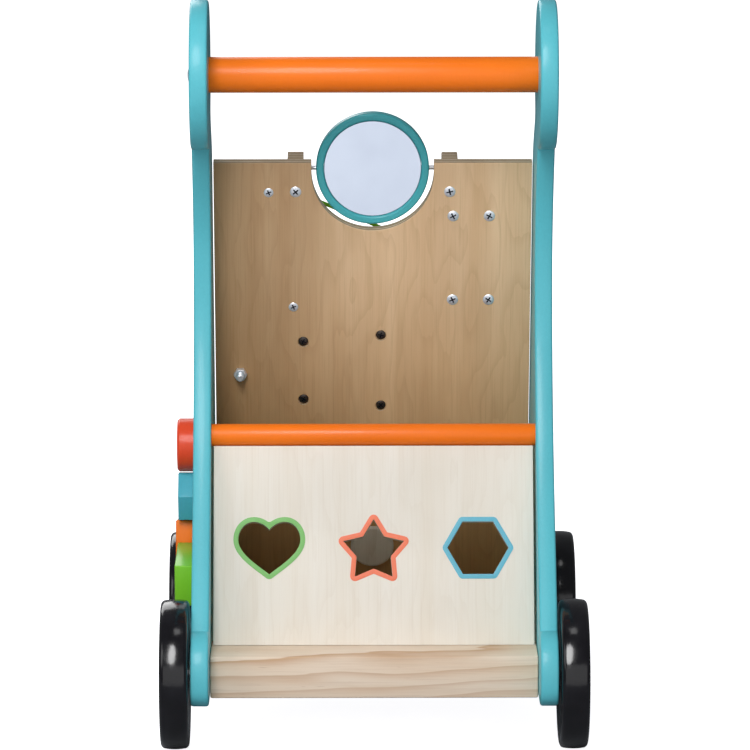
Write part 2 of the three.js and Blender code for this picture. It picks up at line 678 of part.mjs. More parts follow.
function wirePath() {
  const inside = boardThickness / 2 + gap;
  const { from, to, direction } = wireStraight();
  const [xa, ua] = [wireUpperEnd.x, wireUpperU];
  const [xb, ub] = [wireLowerEnd.x, wireLowerU];
  const path = new THREE.CurvePath();
  const start = new THREE.Vector3(xa, inside, ua);
  const straightEnd = new THREE.Vector3(xa, wireReach - 10, ua);
  const corner = new THREE.Vector3(xa, wireReach + 4, ua - 3);
  path.add(new THREE.LineCurve3(start, straightEnd));
  path.add(new THREE.QuadraticBezierCurve3(straightEnd, corner, from));
  path.add(new THREE.LineCurve3(from, to));
  const out = to.clone().addScaledVector(direction, 28);
  const back = new THREE.Vector3(0, wireReach + 8, ub - 2);
  const middle = new THREE.Vector3(-22, wireReach + 6, ub);
  path.add(new THREE.CubicBezierCurve3(to, out, back, middle));
  const ahead = middle.clone().multiplyScalar(2).sub(back);
  const lowStraight = new THREE.Vector3(xb, wireReach - 10, ub);
  const approach = new THREE.Vector3(xb, wireReach + 6, ub);
  path.add(new THREE.CubicBezierCurve3(middle, ahead, approach, lowStraight));
  path.add(new THREE.LineCurve3(lowStraight, new THREE.Vector3(xb, inside, ub)));
  return path;
}

function wireSection() {
  return polygon(wireRadius, 8);
}

// Bead along a unit direction, centred on a point of the wire.
function beadAt(centre, direction) {
  const [r, h] = [bead.radius, bead.length / 2];
  const bore = wireRadius + 2 * gap;
  const profile = [
    [bore, -h],
    [0.7 * r, -h],
    [r, -0.4 * h],
    [r, 0.4 * h],
    [0.7 * r, h],
    [bore, h],
    [bore, -h],
  ];
  const turn = new THREE.Quaternion().setFromUnitVectors(new THREE.Vector3(0, 1, 0), direction);
  return turned(profile, medium).applyQuaternion(turn).translate(centre.x, centre.y, centre.z);
}

function beadMaze() {
  const path = wirePath();
  const along = { extrudePath: path, steps: 60, bevelEnabled: false };
  const wire = new THREE.ExtrudeGeometry(wireSection(), along);
  node('bead_wire', wire, paint.green, board);
  const forwards = new THREE.Vector3(0, 1, 0);
  const onUpper = new THREE.Vector3(wireUpperEnd.x, boardThickness + gap + bead.length / 2, wireUpperU);
  node('bead_upper', beadAt(onUpper, forwards), paint.red, board);
  const onLower = new THREE.Vector3(wireLowerEnd.x, boardThickness + gap + bead.length / 2, wireLowerU);
  node('bead_lower', beadAt(onLower, forwards), paint.orange, board);
  const { from, direction } = wireStraight();
  const onRun = from.clone().addScaledVector(direction, bead.length / 2 + 1.5);
  node('bead_middle', beadAt(onRun, direction), paint.yellow, board);
}

// ---------------------------------------------------------------- blocks on the left panel

function sideBlocks() {
  for (const { name, y, z, thickness, look, shape } of blocks) {
    const face = -panelOuter - gap;
    const body = panelX(shape(), face - thickness, thickness, 7).translate(0, y, z);
    const peg = rodX(block.pegRadius, face - 1, face + gap + block.pegLength, y, z, coarse);
    node(name, join(body, peg), paint[look]);
  }
}

frame();
wheels();
sorter();
activityBoard();
mirrorSet();
gears();
daisySpinner();
xylophoneSet();
rollerTower();
beadMaze();
sideBlocks();

export default walker;
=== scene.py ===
"""Wooden baby walker: painted panels, plywood boards, turning wheels and toys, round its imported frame."""

import json
from math import atan2, cos, pi, radians, sin, sqrt, tan

import bpy
from mathutils import Matrix, Vector
from mathutils.geometry import interpolate_bezier

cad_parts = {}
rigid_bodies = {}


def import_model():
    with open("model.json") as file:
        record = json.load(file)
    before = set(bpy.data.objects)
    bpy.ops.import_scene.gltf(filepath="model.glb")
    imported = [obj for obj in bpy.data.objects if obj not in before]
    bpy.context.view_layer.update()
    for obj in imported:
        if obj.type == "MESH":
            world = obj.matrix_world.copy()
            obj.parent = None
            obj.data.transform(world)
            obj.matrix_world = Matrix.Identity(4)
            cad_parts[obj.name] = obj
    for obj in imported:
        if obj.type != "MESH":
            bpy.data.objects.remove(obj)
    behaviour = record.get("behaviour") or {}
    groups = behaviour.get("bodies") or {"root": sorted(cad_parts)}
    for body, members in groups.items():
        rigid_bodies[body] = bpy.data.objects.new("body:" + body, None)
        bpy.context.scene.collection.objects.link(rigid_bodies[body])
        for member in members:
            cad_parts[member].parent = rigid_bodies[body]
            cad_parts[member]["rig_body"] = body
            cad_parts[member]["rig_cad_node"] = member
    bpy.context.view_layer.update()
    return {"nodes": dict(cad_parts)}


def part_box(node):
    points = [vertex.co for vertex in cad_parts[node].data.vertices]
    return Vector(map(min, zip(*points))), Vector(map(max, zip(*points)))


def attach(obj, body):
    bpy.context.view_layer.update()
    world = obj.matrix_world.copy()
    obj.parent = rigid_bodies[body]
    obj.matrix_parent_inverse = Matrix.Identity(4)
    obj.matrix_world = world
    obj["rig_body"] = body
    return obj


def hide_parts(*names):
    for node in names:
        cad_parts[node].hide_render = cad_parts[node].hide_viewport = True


bl_info = {
    "name": "Baby Walker",
    "version": (1, 0, 0),
    "blender": (4, 5, 0),
    "location": "View3D > Sidebar > Walker",
    "description": "Builds a wooden baby walker round its packed frame",
    "category": "Object",
}

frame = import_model()
MM = 0.001
ACROSS = Vector((1, 0, 0))
FORWARDS = Vector((0, 1, 0))
UPWARDS = Vector((0, 0, 1))
SIDES = (("left", -1), ("right", 1))


# ---------------------------------------------------------------- places in the frame


def middle(node):
    low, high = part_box(node)
    return (low + high) / 2


def span(node):
    low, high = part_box(node)
    return high - low


def turned_to(direction, origin, spin=0):
    """Place of a shape drawn up its own Z axis, with that axis along a direction."""
    turn = Vector(direction).to_track_quat("Z", "Y").to_matrix().to_4x4()
    return Matrix.Translation(origin) @ turn @ Matrix.Rotation(spin, 4, "Z")


class Leaning:
    """A leaning board: its foot on the rear face, its way up, and its way out of the front face."""

    def __init__(self, node):
        mesh = frame["nodes"][node].data
        facing = [face for face in mesh.polygons if face.normal.y > 0.5]
        self.out = max(facing, key=lambda face: face.area).normal.copy()
        self.up = ACROSS.cross(self.out)
        ups = [vertex.co.dot(self.up) for vertex in mesh.vertices]
        outs = [vertex.co.dot(self.out) for vertex in mesh.vertices]
        self.foot = self.up * min(ups) + self.out * min(outs)
        self.length = max(ups) - min(ups)
        self.thickness = max(outs) - min(outs)
        self.lean = atan2(self.out.z, self.out.y)

    def at(self, x, out, up):
        return self.foot + ACROSS * x + self.out * out + self.up * up

    def local(self, point):
        away = Vector(point) - self.foot
        return Vector((away.x, away.dot(self.out), away.dot(self.up)))

    def sheet(self, out):
        """Place of a flat drawn across and up, with its middle at a distance out from the rear face."""
        columns = Matrix((ACROSS, self.up, -self.out)).transposed().to_4x4()
        return Matrix.Translation(self.foot + self.out * out) @ columns


BOARD = Leaning("front_board")
SORTER = Leaning("sorter_board")
SIDEWAYS = Matrix((FORWARDS, UPWARDS, ACROSS)).transposed().to_4x4()  # flats drawn forwards and up


# ---------------------------------------------------------------- drawing and modelling


def rounded_turn(centre, radius, start, end, steps=6):
    """Points of an arc between two angles."""
    angles = [start + (end - start) * step / steps for step in range(steps + 1)]
    return [(centre[0] + radius * cos(a), centre[1] + radius * sin(a)) for a in angles]


class Pen:
    """Draws a closed outline, keeping its curves as close points."""

    def __init__(self, start):
        self.points = [start]

    def line(self, end):
        self.points.append(end)

    def curve(self, first, second, end, steps=28):
        knots = [Vector((*p, 0)) for p in (self.points[-1], first, second, end)]
        self.points += [tuple(p.xy) for p in interpolate_bezier(*knots, steps)[1:]]

    def bend(self, control, end, steps=16):
        start = self.points[-1]
        first = [a + (c - a) * 2 / 3 for a, c in zip(start, control)]
        second = [b + (c - b) * 2 / 3 for b, c in zip(end, control)]
        self.curve(first, second, end, steps)

    def arc(self, centre, radius, start, end, steps=56):
        self.points += rounded_turn(centre, radius, start, end, steps)[1:]


def outset(points, distance):
    """A closed outline moved outwards, with round outer corners and sharp inner ones."""
    count = len(points)
    area = sum(points[i - 1][0] * points[i][1] - points[i][0] * points[i - 1][1] for i in range(count))
    side = 1 if area > 0 else -1
    moved = []
    for i in range(count):
        here = Vector(points[i])
        before = (here - Vector(points[i - 1])).normalized()
        after = (Vector(points[(i + 1) % count]) - here).normalized()
        first = Vector((before.y, -before.x)) * side
        second = Vector((after.y, -after.x)) * side
        turning = before.cross(after) * side
        if turning > 0.02:
            start = atan2(first.y, first.x)
            sweep = atan2(first.cross(second), first.dot(second))
            moved += rounded_turn(here, distance, start, start + sweep, 6)
        else:
            moved.append(tuple(here + (first + second) * distance / (1 + first.dot(second))))
    return moved


def deselect():
    if bpy.context.mode != "OBJECT":
        bpy.ops.object.mode_set(mode="OBJECT")
    bpy.ops.object.select_all(action="DESELECT")


def pick(piece):
    deselect()
    piece.select_set(True)
    bpy.context.view_layer.objects.active = piece
    return piece


def settle(piece):
    """Puts a piece's place, turn and size into its mesh."""
    pick(piece)
    bpy.ops.object.transform_apply(location=True, rotation=True, scale=True)
    return piece


def tidy(piece, merge=0.002 * MM, sharp=32):
    """Merges doubled points, points faces outwards and shades smooth between sharp edges."""
    pick(piece)
    bpy.ops.object.mode_set(mode="EDIT")
    bpy.ops.mesh.select_all(action="SELECT")
    bpy.ops.mesh.remove_doubles(threshold=merge)
    bpy.ops.mesh.normals_make_consistent(inside=False)
    bpy.ops.object.mode_set(mode="OBJECT")
    bpy.ops.object.shade_smooth_by_angle(angle=radians(sharp))
    return piece


def applied(piece, kind, **settings):
    """Adds a modifier to a piece with its settings, and applies it."""
    pick(piece)
    bpy.ops.object.modifier_add(type=kind)
    modifier = piece.modifiers[-1]
    for setting, value in settings.items():
        setattr(modifier, setting, value)
    bpy.ops.object.modifier_apply(modifier=modifier.name)
    return piece


def eased(piece, width, segments=3, angle=35):
    """Rounds every edge sharper than an angle."""
    applied(
        piece, "BEVEL", width=width, segments=segments, limit_method="ANGLE",
        angle_limit=radians(angle), harden_normals=False,
    )
    return tidy(piece)


def carved(piece, *cutters):
    """Cuts shapes out of a piece and removes the cutters."""
    for cutter in cutters:
        applied(piece, "BOOLEAN", operation="DIFFERENCE", solver="EXACT", object=cutter)
        bpy.data.objects.remove(cutter)
    return tidy(piece)


def drawn(name, loops, closed=True):
    """A curve object of straight-sided loops in its own XY plane, or XZ for points of three."""
    deselect()
    bpy.ops.curve.primitive_bezier_circle_add(radius=MM)
    shape = bpy.context.object
    shape.name = name
    shape.data.splines.clear()
    for loop in loops:
        spline = shape.data.splines.new("POLY")
        spline.points.add(len(loop) - 1)
        for knot, point in zip(spline.points, loop):
            knot.co = (*Vector(point).to_3d(), 1)
        spline.use_cyclic_u = closed
    return shape


def flat(name, loops, thickness, rounding, place):
    """A sheet cut to an outline and its holes, with eased edges."""
    piece = drawn(name, loops)
    drawing = piece.data
    drawing.dimensions = "2D"
    drawing.fill_mode = "BOTH"
    drawing.extrude = thickness / 2 - rounding
    drawing.bevel_depth = rounding
    drawing.bevel_resolution = 2
    drawing.offset = -rounding
    bpy.ops.object.convert(target="MESH")
    piece.matrix_world = place
    return tidy(settle(piece))


def turning(name, profile, place, steps=64, rounding=0, closed=False):
    """A shape turned on a lathe from a profile of (radius, height)."""
    piece = drawn(name, [[(radius, 0, height) for radius, height in profile]], closed)
    piece.data.dimensions = "3D"
    bpy.ops.object.convert(target="MESH")
    bpy.ops.object.mode_set(mode="EDIT")
    bpy.ops.mesh.select_all(action="SELECT")
    bpy.ops.mesh.spin(steps=steps, angle=2 * pi, center=(0, 0, 0), axis=(0, 0, 1))
    bpy.ops.object.mode_set(mode="OBJECT")
    piece.matrix_world = place
    tidy(settle(piece))
    return eased(piece, rounding) if rounding else piece


def dowel(name, radius, start, end, rounding, steps=64):
    """A round rod between two points with eased ends."""
    deselect()
    run = Vector(end) - Vector(start)
    bpy.ops.mesh.primitive_cylinder_add(vertices=steps, radius=radius, depth=run.length)
    piece = bpy.context.object
    piece.name = name
    piece.matrix_world = turned_to(run, (Vector(start) + Vector(end)) / 2)
    settle(piece)
    return eased(piece, rounding, 3, 60)


def block_of(name, low, high, rounding, segments=3):
    """A squared timber between two corners with eased edges."""
    deselect()
    low, high = Vector(low), Vector(high)
    bpy.ops.mesh.primitive_cube_add(size=1, location=(low + high) / 2)
    piece = bpy.context.object
    piece.name = name
    piece.scale = high - low
    settle(piece)
    return eased(piece, rounding, segments)


def copied(node, name):
    """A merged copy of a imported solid, with flat faces whole again, to be shaped further."""
    source = frame["nodes"][node]
    pick(source)
    bpy.ops.object.duplicate()
    piece = bpy.context.object
    piece.name = name
    piece.parent = None
    del piece["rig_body"], piece["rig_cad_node"]
    piece.data.materials.clear()
    bpy.ops.object.mode_set(mode="EDIT")
    bpy.ops.mesh.select_all(action="SELECT")
    bpy.ops.mesh.remove_doubles(threshold=0.002 * MM)
    bpy.ops.mesh.dissolve_limited(angle_limit=radians(1))
    bpy.ops.object.mode_set(mode="OBJECT")
    return piece


def twin(piece, name, place):
    """A copy with its own mesh, moved to a place."""
    pick(piece)
    bpy.ops.object.duplicate()
    copy = bpy.context.object
    copy.name = name
    copy.parent = None
    copy.matrix_world = place
    return settle(copy)


def choose(piece, kind, parts, chosen):
    """Selects the faces or edges of a piece that a test chooses, and leaves the piece in edit mode."""
    pick(piece)
    bpy.ops.object.mode_set(mode="EDIT")
    bpy.ops.mesh.select_mode(type=kind)
    bpy.ops.mesh.select_all(action="DESELECT")
    bpy.ops.object.mode_set(mode="OBJECT")
    for part in parts:
        part.select = chosen(part)
    bpy.ops.object.mode_set(mode="EDIT")


def painted_faces(piece, look, chosen):
    """Gives one more material to the faces that a test chooses."""
    piece.data.materials.append(look)
    piece.active_material_index = len(piece.data.materials) - 1
    choose(piece, "FACE", piece.data.polygons, chosen)
    bpy.ops.object.material_slot_assign()
    bpy.ops.object.mode_set(mode="OBJECT")


def on_edge(out):
    """A test for the faces on the cut edge of a sheet that faces a direction."""
    return lambda face: abs(face.normal.dot(out)) < 0.6


def finished(piece, look, body, slot, *nodes):
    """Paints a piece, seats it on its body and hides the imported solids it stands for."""
    piece.data.materials.clear()
    piece.data.materials.append(look)
    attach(piece, body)
    if nodes:
        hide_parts(*nodes)
    return piece


def painted(piece, paint, node, body="frame"):
    """A piece in one of the named paints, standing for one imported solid."""
    return finished(piece, material(paint), body, paint + "_paint", node)


def plated(piece, *nodes, body="frame"):
    return finished(piece, material("bright_zinc"), body, "steel", *nodes)


def extent(node, index):
    """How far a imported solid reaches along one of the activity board's own axes."""
    reaches = [BOARD.local(vertex.co)[index] for vertex in frame["nodes"][node].data.vertices]
    return min(reaches), max(reaches)


def crosswise_rod(node, name, rounding, steps):
    """A dowel in place of a packed rod that runs across the walker."""
    low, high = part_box(node)
    centre = (low + high) / 2
    ends = [(x, centre.y, centre.z) for x in (low.x, high.x)]
    return dowel(name, (high.z - low.z) / 2, *ends, rounding, steps)


# ---------------------------------------------------------------- materials


class Link:
    """An output of a material's nodes. Sums on links and numbers add their Math nodes."""

    def __init__(self, finish, socket):
        self.finish = finish
        self.socket = socket

    def __add__(self, other):
        return self.finish.sum("ADD", self, other)

    def __radd__(self, other):
        return self.finish.sum("ADD", other, self)

    def __sub__(self, other):
        return self.finish.sum("SUBTRACT", self, other)

    def __mul__(self, other):
        return self.finish.sum("MULTIPLY", self, other)

    def __rmul__(self, other):
        return self.finish.sum("MULTIPLY", other, self)

    def __pow__(self, other):
        return self.finish.sum("POWER", self, other)


class Finish:
    """A material in the making."""

    def __init__(self, name):
        self.material = bpy.data.materials.new(name)
        self.material.use_nodes = True
        self.tree = self.material.node_tree
        self.tree.nodes.clear()

    def add(self, kind, settings, inputs, output=0):
        """A node of a type, with its settings made first, then its inputs' values or links."""
        node = self.tree.nodes.new(kind)
        for setting, value in settings.items():
            setattr(node, setting, value)
        for key, value in inputs.items():
            if isinstance(value, Link):
                self.tree.links.new(value.socket, node.inputs[key])
            else:
                node.inputs[key].default_value = value
        return Link(self, node.outputs[output]) if node.outputs else node

    def sum(self, operation, first, second):
        return self.add("ShaderNodeMath", {"operation": operation}, {0: first, 1: second})

    def whole(self):
        """Object coordinates, in metres."""
        return self.add("ShaderNodeTexCoord", {}, {}, "Object")

    def placed(self, origin=(0, 0, 0), turn=(0, 0, 0), size=(1, 1, 1)):
        """Coordinates about an origin, turned, and counted in units of a size."""
        values = {"Vector": self.whole(), "Location": origin, "Rotation": turn, "Scale": size}
        return self.add("ShaderNodeMapping", {"vector_type": "TEXTURE"}, values)

    def stretched(self, vector, size):
        scale = [1 / s for s in size]
        return self.add("ShaderNodeVectorMath", {"operation": "MULTIPLY"}, {0: vector, 1: scale})

    def axis(self, vector, index):
        return self.add("ShaderNodeSeparateXYZ", {}, {"Vector": vector}, index)

    def noise(self, vector, scale=1, detail=2, roughness=0.5, distortion=0):
        inputs = {"Vector": vector, "Scale": scale, "Detail": detail, "Roughness": roughness}
        return self.add("ShaderNodeTexNoise", {}, {**inputs, "Distortion": distortion})

    def ramp(self, value, low, high):
        """0 below a value, 1 above another, and a straight rise between."""
        settings = {"clamp": True}
        inputs = {"Value": value, "From Min": low, "From Max": high}
        return self.add("ShaderNodeMapRange", settings, inputs)

    def mixed(self, share, first, second, way="MIX"):
        settings = {"data_type": "RGBA", "blend_type": way, "clamp_factor": True}
        return self.add("ShaderNodeMix", settings, {0: share, 6: first, 7: second}, 2)

    def bump(self, height, strength, distance, normal=None):
        inputs = {"Height": height, "Strength": strength, "Distance": distance}
        if normal:
            inputs["Normal"] = normal
        return self.add("ShaderNodeBump", {}, inputs)

    def surface(self, **inputs):
        """The shader itself, with underscores for the spaces in its sockets' names."""
        values = {key.replace("_", " "): value for key, value in inputs.items()}
        return self.add("ShaderNodeBsdfPrincipled", {}, values)

    def done(self, **inputs):
        self.add("ShaderNodeOutputMaterial", {}, {"Surface": self.surface(**inputs)})
        return self.material


def linear(part):
    return part / 12.92 if part <= 0.04045 else ((part + 0.055) / 1.055) ** 2.4


def shade(red, green, blue):
    """A colour from its screen values out of 255."""
    return (linear(red / 255), linear(green / 255), linear(blue / 255), 1)


def toned(colour, amount):
    return (*[min(1, part * amount) for part in colour[:3]], 1)


def gloss_paint(name, colour, roughness=0.3, peel=1.0):
    """Sprayed lacquer over sanded wood: slight cloudiness, orange peel and the grain showing faintly."""
    f = Finish(name)
    cloud = f.noise(f.placed(size=(0.09, 0.09, 0.14)), detail=3)
    fleck = f.noise(f.placed(size=(0.0016, 0.0016, 0.0022)), detail=2, roughness=0.7)
    fibre = f.noise(f.placed(size=(0.0009, 0.0011, 0.016)), detail=2)
    colours = f.mixed(f.ramp(cloud, 0.3, 0.7), toned(colour, 0.93), toned(colour, 1.05))
    colours = f.mixed(f.ramp(fleck, 0.45, 0.8) * 0.16, colours, toned(colour, 1.28))
    colours = f.mixed(f.ramp(fibre, 0.55, 0.8) * 0.12, colours, toned(colour, 0.7))
    skin = f.noise(f.placed(size=(0.0018, 0.0018, 0.0018)), detail=2)
    normal = f.bump(skin, 0.22 * peel, 0.0004)
    normal = f.bump(fibre, 0.12 * peel, 0.0003, normal)
    return f.done(
        Base_Color=colours, Roughness=roughness - 0.06 + 0.14 * cloud + 0.05 * fleck, Normal=normal,
        Coat_Weight=0.07, Coat_Roughness=0.1, Specular_IOR_Level=0.25,
    )


def board_ply(name, board, tones, figure, fibre_size=0.0011, painted_shade=False):
    """Sliced veneer with its fibres running up a leaning board, darkened towards the left and the foot by
    painted shade when asked.
    """
    f = Finish(name)
    at = f.placed(board.foot, (board.lean, 0, 0))
    wander = f.noise(f.stretched(at, (0.05, 0.05, 0.16)), detail=2) - 0.5
    broad = f.noise(f.stretched(at, (0.022, 0.03, 0.5)), detail=3, roughness=0.6, distortion=0.4)
    fibre = f.noise(f.stretched(at, (fibre_size, 0.004, 0.06)), detail=3, roughness=0.6)
    hair = f.noise(f.stretched(at, (fibre_size * 0.4, 0.002, 0.02)), detail=2, roughness=0.7)
    across = f.axis(at, 0) * 46 + wander * 9 + broad * 2.5
    ring = f.sum("FRACT", across, 0)
    line = f.ramp(ring, 0.62, 0.97) * f.ramp(ring, 1.0, 0.97)
    patch = f.noise(f.stretched(at, (0.07, 0.07, 0.16)), detail=2)
    pale, middle_tone, dark = tones
    colours = f.mixed(f.ramp(broad, 0.3, 0.7), pale, middle_tone)
    colours = f.mixed(f.ramp(fibre, 0.5, 0.85) * figure[0], colours, dark)
    colours = f.mixed(line * figure[1], colours, dark)
    colours = f.mixed(f.ramp(hair, 0.62, 0.9) * figure[2], colours, toned(dark, 0.6))
    colours = f.mixed(f.ramp(patch, 0.35, 0.75) * figure[3], colours, toned(middle_tone, 0.8))
    # painted shade: the left side panel's shadow and the shade low in the tray, multiplied into the
    # veneer's colour
    if painted_shade:
        left_shadow_share = f.ramp(f.axis(at, 0), 0.01, -0.1)
        foot_shade_share = f.ramp(f.axis(at, 2), 0.24, 0.02)
        colours = f.mixed(left_shadow_share, colours, (0.64, 0.58, 0.5, 1), "MULTIPLY")
        colours = f.mixed(foot_shade_share, colours, (0.76, 0.61, 0.4, 1), "MULTIPLY")
    normal = f.bump(fibre, 0.16, 0.0004)
    normal = f.bump(hair, 0.14, 0.0002, normal)
    return f.done(
        Base_Color=colours, Roughness=0.58 + 0.14 * fibre, Normal=normal, Specular_IOR_Level=0.25,
    )


def ply_layers(name, origin, turn, axis, thickness, layers, tones):
    """The cut edge of plywood: thin plies, turn and turn about."""
    f = Finish(name)
    at = f.placed(origin, turn)
    rough = f.noise(f.stretched(at, (0.0016, 0.0016, 0.0016)), detail=3, roughness=0.7)
    count = f.axis(at, axis) * (layers / thickness) + 0.16 * rough
    ply = f.sum("PINGPONG", count, 1)
    long = f.noise(f.stretched(at, (0.02, 0.02, 0.02)), detail=2)
    colours = f.mixed(f.ramp(ply, 0.38, 0.6), tones[0], tones[1])
    colours = f.mixed(f.ramp(long, 0.4, 0.75) * 0.4, colours, toned(tones[1], 0.8))
    colours = f.mixed(f.ramp(rough, 0.55, 0.85) * 0.4, colours, toned(tones[1], 0.6))
    return f.done(
        Base_Color=colours, Roughness=0.7 + 0.1 * rough, Normal=f.bump(rough, 0.3, 0.0004),
        Specular_IOR_Level=0.2,
    )


def pine_timber(name, origin):
    """Planed pine with its rings running along the timber and climbing slowly across it."""
    f = Finish(name)
    at = f.placed(origin)
    wander = f.noise(f.stretched(at, (0.16, 0.04, 0.03)), detail=2) - 0.5
    ripple = f.noise(f.stretched(at, (0.03, 0.008, 0.006)), detail=2) - 0.5
    height = f.axis(at, 2) * 95 - f.axis(at, 0) * 5.2 + f.axis(at, 1) * 26
    rings = height + wander * 2.2 + ripple * 0.18
    tooth = f.sum("FRACT", rings, 0)
    late = f.ramp(tooth, 0.3, 0.93) ** 2.2 * f.ramp(tooth, 1.0, 0.97)
    strong = f.add("ShaderNodeTexWhiteNoise", {"noise_dimensions": "1D"}, {"W": f.sum("FLOOR", rings, 0)})
    fibre = f.noise(f.stretched(at, (0.045, 0.0012, 0.0009)), detail=3, roughness=0.65)
    streak = f.noise(f.stretched(at, (0.02, 0.002, 0.0011)), detail=2, roughness=0.6)
    soft = f.noise(f.stretched(at, (0.1, 0.02, 0.01)), detail=2)
    colours = f.mixed(f.ramp(soft, 0.3, 0.7), shade(240, 222, 202), shade(233, 209, 184))
    colours = f.mixed(late * (0.35 + 0.65 * strong), colours, shade(196, 150, 108))
    colours = f.mixed(f.ramp(fibre, 0.5, 0.85) * 0.4, colours, shade(190, 158, 128))
    colours = f.mixed(f.ramp(streak, 0.7, 0.8) * 0.5, colours, shade(160, 112, 84))
    normal = f.bump(fibre, 0.22, 0.0004)
    return f.done(
        Base_Color=colours, Roughness=0.56 + 0.14 * fibre, Normal=normal, Specular_IOR_Level=0.25,
    )


def zinc(name, colour, roughness=0.24, metal=1.0):
    """Plated steel with fine scratches and a slight blue bloom."""
    f = Finish(name)
    scratch = f.noise(f.placed(size=(0.0002, 0.0009, 0.0004)), detail=3, roughness=0.7)
    bloom = f.noise(f.placed(size=(0.004, 0.004, 0.004)), detail=2)
    colours = f.mixed(f.ramp(bloom, 0.35, 0.7), colour, toned(colour, 0.8))
    colours = f.mixed(f.ramp(scratch, 0.5, 0.9) * 0.3, colours, toned(colour, 0.5))
    return f.done(
        Base_Color=colours, Metallic=metal, Roughness=roughness + 0.16 * scratch,
        Normal=f.bump(scratch, 0.12, 0.0001),
    )


def black_gloss(name):
    """Thick black lacquer on turned wood, with dust and faint lathe rings."""
    f = Finish(name)
    ripple = f.noise(f.placed(size=(0.012, 0.012, 0.012)), detail=2)
    dust = f.noise(f.placed(size=(0.0009, 0.0009, 0.0009)), detail=3, roughness=0.8)
    colours = f.mixed(f.ramp(ripple, 0.3, 0.8), shade(13, 12, 16), shade(24, 23, 28))
    colours = f.mixed(f.ramp(dust, 0.66, 0.8) * 0.35, colours, shade(64, 63, 70))
    normal = f.bump(ripple, 0.12, 0.002)
    return f.done(
        Base_Color=colours, Roughness=0.1 + 0.1 * ripple + 0.1 * f.ramp(dust, 0.6, 0.8),
        Normal=normal, Specular_IOR_Level=0.45, Coat_Weight=0.0,
    )


def silvered(name):
    """Mirrored acrylic with the faintest haze."""
    f = Finish(name)
    haze = f.noise(f.placed(size=(0.03, 0.03, 0.03)), detail=3)
    dust = f.noise(f.placed(size=(0.0006, 0.0006, 0.0006)), detail=2, roughness=0.8)
    colours = f.mixed(f.ramp(haze, 0.3, 0.7), shade(216, 224, 238), shade(209, 217, 232))
    colours = f.mixed(f.ramp(dust, 0.7, 0.85) * 0.2, colours, shade(176, 184, 200))
    return f.done(Base_Color=colours, Metallic=1.0, Roughness=0.03 + 0.05 * haze)


def pale_paint(name, colour):
    """Thin screen-printed paint, with the wood's fibres telling through."""
    f = Finish(name)
    at = f.placed(SORTER.foot, (SORTER.lean, 0, 0))
    fibre = f.noise(f.stretched(at, (0.0012, 0.002, 0.03)), detail=3, roughness=0.6)
    cover = f.noise(f.stretched(at, (0.004, 0.004, 0.004)), detail=2)
    colours = f.mixed(f.ramp(fibre, 0.5, 0.9) * 0.28, colour, toned(colour, 0.72))
    colours = f.mixed(f.ramp(cover, 0.5, 0.8) * 0.2, colours, toned(colour, 1.25))
    return f.done(
        Base_Color=colours, Roughness=0.42 + 0.12 * fibre, Normal=f.bump(fibre, 0.16, 0.0003),
        Specular_IOR_Level=0.35,
    )


def colour_of(name):
    return tuple(getattr(bpy.context.scene.walker_colours, name))


def edge_of(board, name, layers, tones):
    return ply_layers(name, board.foot, (board.lean, 0, 0), 1, board.thickness, layers, tones)


EDGE_TONES = (shade(204, 188, 164), shade(156, 132, 102))
PALE_EDGE_TONES = (shade(214, 202, 184), shade(176, 156, 130))

RECIPES = {
    "veneer": lambda name: board_ply(
        name, BOARD, (shade(228, 196, 158), shade(214, 178, 138), shade(162, 122, 80)),
        # the front board's veneer carries painted shade, darker towards the left and the foot
        (0.4, 0.16, 0.22, 0.35), painted_shade=True,
    ),
    "pale_veneer": lambda name: board_ply(
        name, SORTER, (shade(236, 230, 220), shade(230, 221, 207), shade(204, 188, 166)),
        (0.3, 0.1, 0.12, 0.3), 0.0014,
    ),
    "pin_wood": lambda name: board_ply(
        name, BOARD, (shade(222, 210, 194), shade(212, 198, 180), shade(186, 166, 142)),
        (0.4, 0.3, 0.2, 0.2), 0.0009,
    ),
    "veneer_edge": lambda name: edge_of(BOARD, name, 5, EDGE_TONES),
    "pale_edge": lambda name: edge_of(SORTER, name, 3, PALE_EDGE_TONES),
    "floor_edge": lambda name: ply_layers(
        name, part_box("floor_panel")[0], (0, 0, 0), 2, span("floor_panel").z, 3, PALE_EDGE_TONES,
    ),
    "pine": lambda name: pine_timber(name, middle("rear_plank")),
    "pine_front": lambda name: pine_timber(name, middle("front_batten") + Vector((0.3, 0, 0.004))),
    "bright_zinc": lambda name: zinc(name, shade(244, 248, 255), 0.36, 0.75),
    "dark_zinc": lambda name: zinc(name, shade(92, 86, 82), 0.34),
    "black_lacquer": lambda name: black_gloss(name),
    # painted shade: dark metal for the screws' cross slots, standing in for the shade inside them
    "soot": lambda name: zinc(name, shade(44, 46, 54), 0.5),
    "silvering": lambda name: silvered(name),
}


def material(name):
    """The named finish, made once. A paint is named by its colour."""
    found = bpy.data.materials.get("walker_" + name)
    if found:
        return found
    if name in RECIPES:
        return RECIPES[name]("walker_" + name)
    if name.startswith("printed_"):
        return pale_paint("walker_" + name, colour_of(name))
    return gloss_paint("walker_" + name, colour_of(name))


# ---------------------------------------------------------------- what a user may change


def length(name, description, millimetres):
    return bpy.props.FloatProperty(
        name=name, description=description, default=millimetres * MM, min=0, precision=4,
        subtype="DISTANCE", unit="LENGTH",
    )


def colour(name, description, red, green, blue):
    return bpy.props.FloatVectorProperty(
        name=name, description=description, default=shade(red, green, blue), size=4, min=0, max=1,
        subtype="COLOR",
    )


